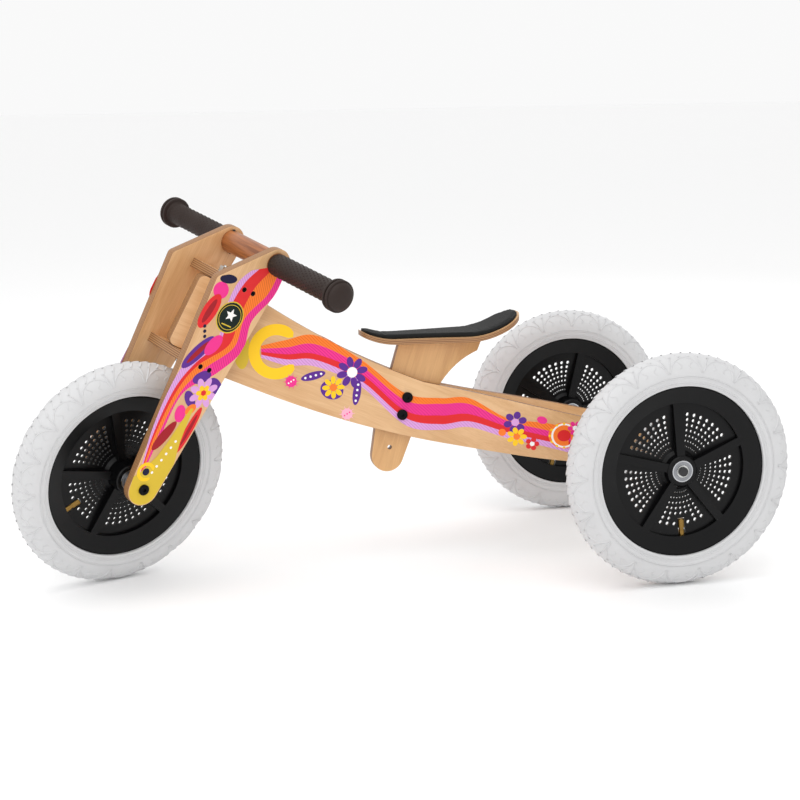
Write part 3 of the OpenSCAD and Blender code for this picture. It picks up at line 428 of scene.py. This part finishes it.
def grip(side, name, stands_for):
    """collars and a domed end moulded in one with the sleeve, which has rings of raised dots"""
    bm = bmesh.new()
    inner, end = BLADE_FACE, GRIP_END
    dome = COLLAR_R - 2.5 * MM
    c1, c2 = end - 19.5 * MM, end - 13 * MM
    outline = [(inner, BORE_R), (inner, GRIP_R - 0.8 * MM), (inner + 0.8 * MM, GRIP_R - 0.2 * MM),
               (inner + 4 * MM, GRIP_R), (c1 - 3 * MM, GRIP_R), (c1 - 1 * MM, GRIP_R + 1 * MM),
               (c1, GRIP_R + 2 * MM), (c1, COLLAR_R - 0.8 * MM), (c1 + 0.4 * MM, COLLAR_R - 0.2 * MM),
               (c1 + 1 * MM, COLLAR_R), (c1 + 3 * MM, COLLAR_R), (c1 + 3.6 * MM, COLLAR_R - 0.2 * MM),
               (c1 + 4 * MM, COLLAR_R - 0.8 * MM), (c1 + 4 * MM, dome - 1 * MM), (c2, dome - 1 * MM),
               (c2, COLLAR_R - 0.8 * MM), (c2 + 0.4 * MM, COLLAR_R - 0.2 * MM), (c2 + 1 * MM, COLLAR_R),
               (c2 + 3 * MM, COLLAR_R), (c2 + 3.6 * MM, COLLAR_R - 0.2 * MM),
               (c2 + 4 * MM, COLLAR_R - 0.8 * MM), (c2 + 4 * MM, dome)]
    outline += [(end - 9 * MM + 9 * MM * sin(a), dome * cos(a)) for a in
                [radians(d) for d in range(12, 90, 13)]]
    outline += [(end, 0.0), (end - 5 * MM, 0.0), (end - 5 * MM, BORE_R), (inner, BORE_R)]
    lathe(bm, outline)
    bmesh.ops.remove_doubles(bm, verts=bm.verts[:], dist=1e-6)
    bmesh.ops.recalc_face_normals(bm, faces=bm.faces[:])
    rows, around = 24, 18
    pitch = (c1 - 8 * MM - inner - 6 * MM) / (rows - 1)
    for row in range(rows):
        for k in range(around):
            turn = 2 * pi * (k + 0.5 * (row % 2)) / around
            spot = (Matrix.Rotation(turn, 4, "X")
                    @ Matrix.Translation((inner + 6 * MM + row * pitch, 0, GRIP_R + 0.15 * MM)))
            bmesh.ops.create_cone(bm, cap_ends=True, segments=7, radius1=1.5 * MM,
                                  radius2=0.8 * MM, depth=0.7 * MM, matrix=spot)
    if side < 0:
        bmesh.ops.transform(bm, matrix=Matrix.Rotation(pi, 4, "Z"), verts=bm.verts[:])
    bmesh.ops.transform(bm, matrix=fork_place @ Matrix.Translation((0, BAR_BACK, 0)),
                        verts=bm.verts[:])
    return piece(bm, name, "fork", "grip_rubber", grip_rubber, stands_for, smooth=40)


grip(1, "grip_sleeve_left", "grip_left")
grip(-1, "grip_sleeve_right", "grip_right")

# ---- steering bolt and front axle ----
# An M8 bolt and nut hold the fork to the head. The front axle is a rod tapped at both ends for
# a black bolt, with aluminium spacers up to the hub.
coat(bright_zinc, "steering_bolt", "steering_nut")
coat(blackened, "front_axle")
coat(black_caps, "front_axle_bolts")
coat(aluminium, "front_axle_spacers", "front_hub_sleeve")

# ---- wheels ----
# Each wheel is a black moulded rim with a pierced disc, an air tyre of pale grey rubber over a
# butyl tube, a brass valve, and two sealed ball bearings in the hub.
RING_R, TYRE_H, TYRE_W = 125.25, 27.25, 21.5
RIM_R, RIM_SEAT, BEAD = 111.0, 102.2, 12.6
SKIN = 0.9
ARCHES = 18
front_place = (fork_place @ Matrix.Translation((0, -8 * MM, -335 * MM)) @ Matrix.Rotation(pi, 4, "Z")
               @ Matrix.Rotation(radians(32), 4, "X"))
left_place = Matrix.Translation(joint_at["left_wheel_spin"])
right_place = (Matrix.Translation(joint_at["right_wheel_spin"]) @ Matrix.Rotation(pi, 4, "Z")
               @ Matrix.Rotation(radians(11), 4, "X"))
pale_rubber = moulded("pale_tyre_rubber", (208, 208, 209), 0.55, grain=650, depth=0.12)


def tyre_point(run, across, lift):
    """a point on the tyre: run is mm round the tread, across is mm from one bead over to the
    other, and lift is the height over the carcass"""
    turn, a = run / 140, across / 24.5
    r = RING_R + (TYRE_H - SKIN) * sin(a)
    x = (TYRE_W - SKIN) * cos(a)
    out = Vector((TYRE_H * cos(a), TYRE_W * sin(a))).normalized() * lift
    r, x = (r + out.y) * MM, (x + out.x) * MM
    return Vector((x, -r * sin(turn), r * cos(turn)))


def raised_line(bm, path, width, lift, cuts=10):
    """a low rounded rib that follows path over the rubber, its feet sunk in the carcass"""
    made = bmesh.ops.create_grid(bm, x_segments=cuts, y_segments=4, size=1)["verts"]
    rise = {-2: -0.5, -1: 0.8, 0: 1.0, 1: 0.8, 2: -0.5}
    for vert in made:
        t, row = (vert.co.x + 1) / 2, round(vert.co.y * 2)
        here, ahead, behind = path(t), path(min(t + 0.01, 1)), path(max(t - 0.01, 0))
        way = Vector((ahead[0] - behind[0], ahead[1] - behind[1])).normalized()
        reach = width / 2 * (row / 2) * (1 if abs(row) < 2 else 1.15)
        vert.co = tyre_point(here[0] - way.y * reach, here[1] + way.x * reach, lift * rise[row])
    return made


def tread(bm):
    """scalloped ribs on both shoulders, curls between them, and bars over the crown"""
    pitch = 2 * pi * 140 / ARCHES
    one = []

    def both(path, width, lift, cuts=10):
        width, lift = width * 1.15, lift * 1.25
        one.extend(raised_line(bm, path, width, lift, cuts))
        one.extend(raised_line(bm, lambda t: (path(t)[0], pi * 24.5 - path(t)[1]), width, lift,
                               cuts))

    both(lambda t: ((t - 0.5) * pitch * 0.94, 6 + 19 * sin(pi * t) ** 0.7), 1.9, 0.85, 16)
    both(lambda t: (pitch / 2 - 1.2 - 7 * t, 5 + 22 * t + 3 * sin(pi * t)), 1.3, 0.8, 8)
    both(lambda t: (pitch / 2 + 1.2 + 7 * t, 5 + 22 * t + 3 * sin(pi * t)), 1.3, 0.8, 8)
    both(lambda t: (3.5 * sin(4.4 * t) * (1 - t * 0.5) - 8, 9 + 9 * t), 0.8, 0.45, 8)
    both(lambda t: (8 - 3.5 * sin(4.4 * t) * (1 - t * 0.5), 9 + 9 * t), 0.8, 0.45, 8)
    for k in range(4):
        at = (k - 1.5) * pitch / 4
        both(lambda t: (at + 5 * sin(pi * t / 2), 26 + 11 * t), 2.8, 0.72, 5)
    faces = list(dict.fromkeys(f for v in one for f in v.link_faces))
    for face in faces:
        face.normal_update()
        middle = face.calc_center_median()
        if face.normal.dot(middle - Vector((0, middle.y, middle.z)).normalized() * RING_R * MM) < 0:
            face.normal_flip()
    for k in range(1, ARCHES):
        copied = bmesh.ops.duplicate(bm, geom=one + faces)["geom"]
        bmesh.ops.rotate(bm, cent=(0, 0, 0), matrix=Matrix.Rotation(2 * pi * k / ARCHES, 3, "X"),
                         verts=[g for g in copied if isinstance(g, bmesh.types.BMVert)])


def tyre(wheel, place):
    bm = bmesh.new()
    low = radians(-27)
    outline = [(BEAD - 3.5, RIM_SEAT), (BEAD, RIM_SEAT), (BEAD, RIM_R + 0.3),
               ((TYRE_W - SKIN) * cos(low) - 1.6, RIM_R + 0.3),
               ((TYRE_W - SKIN) * cos(low) - 0.3, RIM_R + 0.7)]
    for k in range(31):
        a = low + (pi - 2 * low) * k / 30
        outline.append(((TYRE_W - SKIN) * cos(a), RING_R + (TYRE_H - SKIN) * sin(a)))
    outline += [(-x, r) for x, r in outline[4::-1]]
    outline += [(-BEAD + 3.5, RIM_R + 3)]
    outline += [(-(TYRE_W - 4) * cos(radians(d)), RING_R + (TYRE_H - 4) * sin(radians(d)))
                for d in range(-20, 201, 20)]
    outline += [(BEAD - 3.5, RIM_R + 3), (BEAD - 3.5, RIM_SEAT)]
    lathe(bm, [(x * MM, r * MM) for x, r in outline], steps=108)
    bmesh.ops.remove_doubles(bm, verts=bm.verts[:], dist=1e-6)
    bmesh.ops.recalc_face_normals(bm, faces=bm.faces[:])
    for lean, lift in ((-22, 0.7), (-16, 0.55), (-4, 0.8), (-0.5, 0.5)):
        for a in (radians(lean), pi - radians(lean)):
            ring = [(a - 0.03, -0.4), (a - 0.015, lift), (a + 0.015, lift), (a + 0.03, -0.4)]
            if a > pi / 2:
                ring.reverse()
            lathe(bm, [((TYRE_W - SKIN + h) * cos(t) * MM, (RING_R + (TYRE_H - SKIN + h) * sin(t)) * MM)
                       for t, h in ring])
    tread(bm)
    bmesh.ops.transform(bm, matrix=place, verts=bm.verts[:])
    return piece(bm, wheel + "_tyre_treaded", wheel + "_wheel", "pale_tyre", pale_rubber,
                 wheel + "_tyre", smooth=50)


butyl = moulded("butyl_tube", (32, 32, 33), 0.6)
rim_black = moulded("rim_black", (6, 6, 7), 0.34, grain=1800, depth=0.015,
                    Specular_IOR_Level=0.2)
bearing_steel = metal("bearing_steel", (200, 202, 205), 0.16)
shield_steel = metal("shield_steel", (150, 152, 156), 0.3)
brass = metal("valve_brass", (150, 118, 62), 0.34)
for wheel, place in (("front", front_place), ("left", left_place), ("right", right_place)):
    tyre(wheel, place)
    coat(butyl, wheel + "_tube")
    coat(rim_black, wheel + "_rim")
    coat(bearing_steel, wheel + "_outer_rings", wheel + "_inner_rings", wheel + "_balls")
    coat(shield_steel, wheel + "_shields")
    coat(brass, wheel + "_valve", wheel + "_valve_cap")

# ---- printed artwork ----
# Bright inks are screen-printed on the outer faces of the arms and the blades, one thin coat
# over another: four flowing ribbons with fine hatching, and plain shapes and flowers round them.
INK = {"orange": (250, 122, 30), "magenta": (238, 42, 140), "red": (222, 30, 34),
       "lilac": (220, 160, 220), "purple": (92, 42, 142), "yellow": (253, 202, 12),
       "navy": (26, 24, 58), "white": (248, 246, 242), "wine": (160, 20, 32),
       "pink": (250, 176, 200), "gold": (216, 184, 48), "forest": (12, 30, 25)}
PRINT_GAP, COAT_STEP = 0.05, 0.035


def inks():
    """ink colours come with the print; thin lines are hatched over some of them"""
    mat = finish("printed_ink", (230, 60, 90), 0.42, Specular_IOR_Level=0.18)
    ink = step(mat, "Attribute", {}, attribute_name="ink", attribute_type="GEOMETRY")
    uv = step(mat, "UVMap", {}, uv_map="print").outputs[0]
    lines = step(mat, "TexWave", {"Vector": uv, "Scale": 14.0, "Distortion": 2.4, "Detail": 1.0,
                                  "Detail Scale": 0.4}, bands_direction="DIAGONAL").outputs["Fac"]
    thin = step(mat, "MapRange", {0: lines, 1: 0.72, 2: 0.88, 3: 0.0, 4: 0.6}).outputs[0]
    hatch = sum_of(mat, "MULTIPLY", thin, sum_of(mat, "SUBTRACT", 1.0, ink.outputs["Alpha"]))
    cover = step(mat, "TexNoise", {"Vector": uv, "Scale": 160.0, "Detail": 2}).outputs["Fac"]
    shaded = step(mat, "HueSaturation", {"Color": ink.outputs["Color"], "Value": 0.6}).outputs[0]
    dry = step(mat, "HueSaturation", {"Color": ink.outputs["Color"], "Saturation": 0.94,
                                      "Value": 0.95}).outputs[0]
    base = step(mat, "MixRGB", {0: sum_of(mat, "MULTIPLY", cover, 0.6), 1: ink.outputs["Color"],
                                2: dry}).outputs[0]
    shade(mat, "Base Color", step(mat, "MixRGB", {0: hatch, 1: base, 2: shaded}).outputs[0])
    shade(mat, "Roughness", step(mat, "MapRange", {0: cover, 1: 0.3, 2: 0.7, 3: 0.3, 4: 0.42}).outputs[0])
    relief(mat, cover, 0.01 * MM, 0.3)
    return mat


printed_ink = inks()


class Sheet:
    """artwork drawn flat in millimetres, then laid on a face; hatched inks have an alpha of 0"""

    def __init__(self):
        self.bm = bmesh.new()
        self.ink = self.bm.loops.layers.float_color.new("ink")
        self.uv = self.bm.loops.layers.uv.new("print")
        self.coats = []

    def coat_over(self, points):
        """the number of the coat that goes over whatever is already printed there"""
        xs, ys = [p[0] for p in points], [p[1] for p in points]
        x0, x1, y0, y1 = min(xs), max(xs), min(ys), max(ys)
        level = 1 + max((c for a, b, d, e, c in self.coats if a < x1 and b > x0 and d < y1 and e > y0),
                        default=0)
        self.coats.append((x0, x1, y0, y1, level))
        return level

    def paint(self, faces, colour, coat, hatched=False):
        tone = srgb(*INK[colour], 0.0 if hatched else 1.0)
        for face in faces:
            if face.normal.z < 0:
                face.normal_flip()
            for loop in face.loops:
                loop[self.ink] = tone
                loop[self.uv].uv = loop.vert.co.xy / 100
                loop.vert.co.z = PRINT_GAP + coat * COAT_STEP

    def shape(self, points, colour, coat=None):
        coat = self.coat_over(points) if coat is None else coat
        face = self.bm.faces.new([self.bm.verts.new((x, y, 0)) for x, y in points])
        face.normal_update()
        self.paint([face], colour, coat)

    def round(self, x, y, rx, colour, ry=None, tilt=0, coat=None):
        """a disc, or an oval turned by tilt degrees"""
        ry = rx if ry is None else ry
        t = radians(tilt)
        spots = []
        for k in range(24):
            a = radians(360 * k / 24)
            px, py = rx * cos(a), ry * sin(a)
            spots.append((x + px * cos(t) - py * sin(t), y + px * sin(t) + py * cos(t)))
        self.shape(spots, colour, coat)

    def loop(self, x, y, outer, inner, colour, start=0, end=360):
        """a ring; an open one comes to two round-nosed ends"""
        coat = self.coat_over([(x - outer, y - outer), (x + outer, y + outer)])
        made = bmesh.ops.create_grid(self.bm, x_segments=36, y_segments=1, size=1)["verts"]
        for vert in made:
            u = (vert.co.x + 1) / 2
            a = radians(start + (end - start) * u)
            nose = 1 if end - start >= 360 else min(1, sqrt(max(0, 1 - (1 - min(u, 1 - u) * 9) ** 2))
                                                    if min(u, 1 - u) < 1 / 9 else 1)
            r = (outer + inner) / 2 + (outer - inner) / 2 * vert.co.y * nose
            vert.co = (x + r * cos(a), y + r * sin(a), 0)
        faces = list(dict.fromkeys(f for v in made for f in v.link_faces))
        for face in faces:
            face.normal_update()
        self.paint(faces, colour, coat)

    def flower(self, x, y, r, colour, petals=6, core="yellow", turn=0):
        """petals side by side round a core, none over its neighbour"""
        coat = self.coat_over([(x - r, y - r), (x + r, y + r)])
        for k in range(petals):
            a = radians(turn + 360 * k / petals)
            self.round(x + 0.66 * r * cos(a), y + 0.66 * r * sin(a), 0.36 * r, colour,
                       0.53 * r * tan(pi / petals), turn + 360 * k / petals, coat=coat)
        self.round(x, y, 0.34 * r, core)

    def dots(self, x, y, length, count, colour, r, tilt=0):
        """a row of dots about a middle"""
        for k in range(count):
            way = length * (k / (count - 1) - 0.5)
            self.round(x + way * cos(radians(tilt)), y + way * sin(radians(tilt)), r, colour)

    def rays(self, x, y, r, colour, count=10):
        coat = self.coat_over([(x - r, y - r), (x + r, y + r)])
        for k in range(count):
            a, wide = 2 * pi * k / count, 0.12
            self.shape([(x + r * 0.72 * cos(a - wide), y + r * 0.72 * sin(a - wide)),
                        (x + r * 1.3 * cos(a), y + r * 1.3 * sin(a)),
                        (x + r * 0.72 * cos(a + wide), y + r * 0.72 * sin(a + wide))], colour,
                       coat=coat)

    def bar(self, x0, y0, x1, y1, wide, colour):
        """a straight band"""
        side = Vector((y0 - y1, x1 - x0)).normalized() * wide / 2
        ends = [Vector((x0, y0)), Vector((x1, y1))]
        self.shape([ends[0] - side, ends[1] - side, ends[1] + side, ends[0] + side], colour)

    def ribbons(self, stations, colours, along_y=False):
        """bands side by side; each station is a place along them and the edges met there"""
        count = 12 * (len(stations) - 1)

        def smooth(column, t):
            k = min(int(t), len(stations) - 2)
            f = t - k
            p = [stations[min(max(k + j, 0), len(stations) - 1)][column] for j in (-1, 0, 1, 2)]
            return 0.5 * (2 * p[1] + (p[2] - p[0]) * f + (2 * p[0] - 5 * p[1] + 4 * p[2] - p[3]) * f * f
                          + (3 * p[1] - p[0] - 3 * p[2] + p[3]) * f ** 3)

        near, far = stations[0], stations[-1]
        across = [e for row in stations for e in row[1:]]
        span = [(near[0], min(across)), (far[0], max(across))]
        coat = self.coat_over([(b, a) for a, b in span] if along_y else span)
        for band, (colour, hatched) in enumerate(colours):
            made = bmesh.ops.create_grid(self.bm, x_segments=count, y_segments=1, size=1)["verts"]
            for vert in made:
                t = (vert.co.x + 1) / 2 * (len(stations) - 1)
                edge = smooth(band + (1 if vert.co.y < 0 else 2), t)
                at = smooth(0, t)
                vert.co = (edge, at, 0) if along_y else (at, edge, 0)
            faces = list(dict.fromkeys(f for v in made for f in v.link_faces))
            for face in faces:
                face.normal_update()
            self.paint(faces, colour, coat, hatched)

    def trim(self, point, away):
        """cuts off whatever lies past a line"""
        bmesh.ops.bisect_plane(self.bm, geom=self.bm.verts[:] + self.bm.edges[:] + self.bm.faces[:],
                               plane_co=(*point, 0), plane_no=(*away, 0), clear_outer=True)

    def pierce(self, x, y, r):
        """a round hole, where a screw head shows"""
        for k in range(12):
            way = Vector((cos(k * pi / 6), sin(k * pi / 6)))
            close = [f for f in self.bm.faces
                     if min(v.co.x for v in f.verts) < x + r and max(v.co.x for v in f.verts) > x - r
                     and min(v.co.y for v in f.verts) < y + r and max(v.co.y for v in f.verts) > y - r]
            edges = list(dict.fromkeys(e for f in close for e in f.edges))
            verts = list(dict.fromkeys(v for f in close for v in f.verts))
            bmesh.ops.bisect_plane(self.bm, geom=verts + edges + close, dist=1e-5,
                                   plane_co=(x + r * way.x, y + r * way.y, 0), plane_no=(*way, 0))
        inside = [f for f in self.bm.faces
                  if hypot(f.calc_center_median().x - x, f.calc_center_median().y - y) < r * 0.99]
        bmesh.ops.delete(self.bm, geom=inside, context="FACES")

    def lay(self, name, body, place, flip):
        """the finished sheet on its face, as place(x, y, height) says"""
        bm = self.bm.copy()
        for vert in bm.verts:
            vert.co = place(*vert.co)
        if flip:
            bmesh.ops.reverse_faces(bm, faces=bm.faces[:])
        return piece(bm, name, body, "printed_ply", printed_ink)


def arm_skin(y):
    """distance of an arm's outer face from the centre plane, in mm"""
    t = min(max((y - 86.783) / 200, 0), 1)
    slope = 42 / 200 * 6 * t * (1 - t)
    return 12 + 42 * t * t * (3 - 2 * t) + 6 * sqrt(1 + slope * slope)


FLOW = [("orange", True), ("magenta", True), ("red", False), ("lilac", True)]
arms = Sheet()
arms.round(-190, 308, 11, "gold", 28)
arms.ribbons([(-164, 310, 306, 302, 298, 294), (-130, 316, 306, 297, 290, 282),
              (-90, 320, 308, 295, 287, 278), (-30, 285, 276, 266, 256, 248),
              (30, 236, 226, 212, 202, 192), (80, 226, 218, 202, 190, 182),
              (120, 224, 216, 202, 192, 184), (170, 196, 192, 184, 176, 168),
              (220, 189, 179, 171, 164, 156), (262, 178, 168, 160, 154, 144)], FLOW)
arms.loop(-144, 301, 37, 22, "yellow", 38, 322)
arms.flower(-42, 268, 21, "purple", 8, "white", 10)
for x, y, tilt in ((-95, 266, 12), (-36, 240, 80)):
    arms.round(x, y, 17, "purple", 5.5, tilt)
    arms.dots(x, y, 22, 4, "white", 1.6, tilt)
arms.round(-70, 246, 16, "purple", 13, -20)
arms.flower(-68, 249, 15, "yellow", 8, "orange")
for x, y, petal, dot in ((-125, 260, "magenta", "white"), (-50, 212, "pink", "magenta")):
    arms.rays(x, y, 9, petal)
    arms.round(x, y, 7.5, petal)
    arms.dots(x, y, 8, 3, dot, 1.1, 30)
arms.flower(180, 190, 15, "purple", 6, "lilac", 15)
arms.flower(182, 170, 13, "yellow", 7, "orange")
arms.flower(202, 160, 9, "red", 5, "white")
arms.round(215, 193, 7, "magenta", 5, -20)
arms.round(163, 176, 5, "orange")
arms.round(244, 171, 21, "orange", 18, -10)
arms.loop(244, 171, 17, 14.5, "white")
arms.round(244, 171, 9, "red", 8)
for k in range(12):
    arms.round(244 + 19 * cos(k * pi / 6), 171 + 16.5 * sin(k * pi / 6), 1.7, "yellow")
arms.flower(259, 181, 10, "magenta", 6, "white")
for k in range(21):
    bmesh.ops.bisect_plane(arms.bm, geom=arms.bm.verts[:] + arms.bm.edges[:] + arms.bm.faces[:],
                           plane_co=(86.8 + 10 * k, 0, 0), plane_no=(1, 0, 0))
for side, hand in ((1, "left"), (-1, "right")):
    arms.lay("arm_print_" + hand, "frame",
             lambda x, y, z: Vector((side * (arm_skin(x) + z), x, y)) * MM, side < 0)

blade = Sheet()
blade.ribbons([(24, -16, -14, -4, 6, 12), (-6, -22, -18, -3, 9, 18), (-40, -42, -33, -15, 8, 18),
               (-80, -42, -36, -17, -8, 4), (-120, -33, -27, -12, -3, 11),
               (-160, -60, -48, -42, -30, -10), (-200, -66, -59, -54, -48, -44),
               (-260, -62, -58, -55, -50, -46), (-315, -50, -49, -48, -47, -45)],
              [("lilac", True), ("red", False), ("orange", True), ("magenta", True)], along_y=True)
blade.round(-61, -60, 12, "magenta", 11, -20)
blade.round(-58, -43, 13, "navy", 6, 15)
for x, y, wide, tall, tilt, outer, inner in ((-63, -90, 11, 25, -8, "red", "wine"),
                                             (-51, -144, 9, 29, -25, "purple", "wine")):
    blade.round(x, y, wide, outer, tall, tilt)
    blade.round(x, y, wide * 0.4, inner, tall * 0.7, tilt)
blade.dots(-56, -116, 14, 3, "navy", 2.4, -60)
blade.round(-34, -128, 9, "magenta", 16, -20)
blade.round(-28, -172, 14, "purple", 8, 40)
blade.round(-2, -176, 14, "purple", 8, -30)
blade.round(-30, -204, 13, "purple", 7, -40)
blade.flower(-15, -190, 21, "lilac", 8, "orange")
blade.flower(-15, -190, 11, "yellow", 6, "red", 20)
blade.round(-10, -242, 6, "red", 34, -4)
blade.round(-10, -242, 2.5, "wine", 23, -4)
blade.round(-41, -260, 7, "wine", 24, -18)
blade.round(-34, -226, 8, "magenta", 12, 20)
blade.round(-22, -216, 6, "orange", 9, -30)
blade.shape([(-22, -214), (-27, -236), (-31, -262), (-37, -288), (-50, -316), (-62, -330),
             (-62, -362), (0, -362), (-5, -318), (-8, -288), (-14, -262), (-17, -236), (-18, -214)],
            "gold")
blade.dots(-27, -286, 50, 6, "white", 1.8, 76)
blade.loop(-42, -312, 13, 8.5, "yellow", 30, 330)
blade.round(-42, -312, 5, "navy")
blade.round(-30, -87, 20.5, "gold", 21.5)
blade.round(-30, -87, 19, "forest", 20)
blade.loop(-30, -87, 17, 16.2, "gold")
blade.shape([(-30 + (9 if k % 2 == 0 else 4) * sin(k * pi / 5),
              -84 + (9 if k % 2 == 0 else 4) * cos(k * pi / 5)) for k in range(10)], "white")
blade.bar(-38, -98, -22, -98, 1.6, "gold")
# the print stops a little inside the rounded edges: front, rear, brow and foot
head, brow, foot = Vector((0, 0)), Vector((-67, -49)), Vector((-33, -335))
for angle in [15 * k for k in range(24)] + [117.5, 189.6, 354.1]:
    at, r = (head, 19.3) if angle < 118 else (brow, 6.8) if angle < 189 else (foot, 20.8)
    way = Vector((cos(radians(angle)), sin(radians(angle))))
    blade.trim(at + way * r, way)
for x, y in ((-28.5, -47), (-13.5, -47), (-37.5, -160), (-22.5, -160)):
    blade.pierce(x, y, 3.4)
for side, hand in ((1, "left"), (-1, "right")):
    blade.lay("blade_print_" + hand, "fork",
              lambda x, y, z: fork_place @ (Vector((side * (63 + z), x + 25, y)) * MM), side < 0)

# ---- floor, light and camera ----
# The tricycle stands on a plain pale floor under wide soft lamps.
floor_mesh = bpy.data.meshes.new("floor")
bm = bmesh.new()
bmesh.ops.create_grid(bm, x_segments=1, y_segments=1, size=30)
bm.to_mesh(floor_mesh)
bm.free()
floor = bpy.data.objects.new("floor", floor_mesh)
bpy.context.scene.collection.objects.link(floor)
floor_mesh.materials.append(finish("floor_white", (253, 253, 253), 0.8))

world = bpy.data.worlds.new("studio")
world.use_nodes = True
world.node_tree.nodes["Background"].inputs["Color"].default_value = (1, 1, 1, 1)
world.node_tree.nodes["Background"].inputs["Strength"].default_value = 0.95
bpy.context.scene.world = world


def lamp(name, place, aim, size, watts):
    light = bpy.data.lights.new(name, "AREA")
    light.shape = "SQUARE"
    light.size = size
    light.energy = watts
    made = bpy.data.objects.new(name, light)
    made.location = place
    made.rotation_euler = (Vector(aim) - Vector(place)).to_track_quat("-Z", "Y").to_euler()
    bpy.context.scene.collection.objects.link(made)


lamp("lamp_over", (0.6, -0.4, 2.6), (0, 0, 0.1), 2.2, 20)
lamp("lamp_side", (2.4, -1.6, 1.5), (0, 0, 0.2), 1.6, 12)
lamp("lamp_back", (-2.0, 1.6, 1.8), (0, 0, 0.2), 1.8, 6)

VIEW_AZ, VIEW_EL, VIEW_ROLL = radians(75.8368), radians(10.5385), radians(-0.7285)
VIEW_AIM, VIEW_FROM = Vector((-2.12666, 0.564591, -0.184869)), 4.6206
back = Vector((sin(VIEW_AZ) * cos(VIEW_EL), -cos(VIEW_AZ) * cos(VIEW_EL), sin(VIEW_EL)))
right = Vector((cos(VIEW_AZ), sin(VIEW_AZ), 0))
up = back.cross(right)
right, up = (right * cos(VIEW_ROLL) + up * sin(VIEW_ROLL),
             up * cos(VIEW_ROLL) - right * sin(VIEW_ROLL))
camera_data = bpy.data.cameras.new("camera")
camera_data.lens, camera_data.sensor_width = 79.165, 36.0
camera = bpy.data.objects.new("camera", camera_data)
turn = Matrix((right, up, back)).transposed().to_4x4()
camera.matrix_world = Matrix.Translation(VIEW_AIM + back * VIEW_FROM) @ turn
bpy.context.scene.collection.objects.link(camera)
bpy.context.scene.camera = camera
bpy.context.scene.view_settings.view_transform = "Standard"
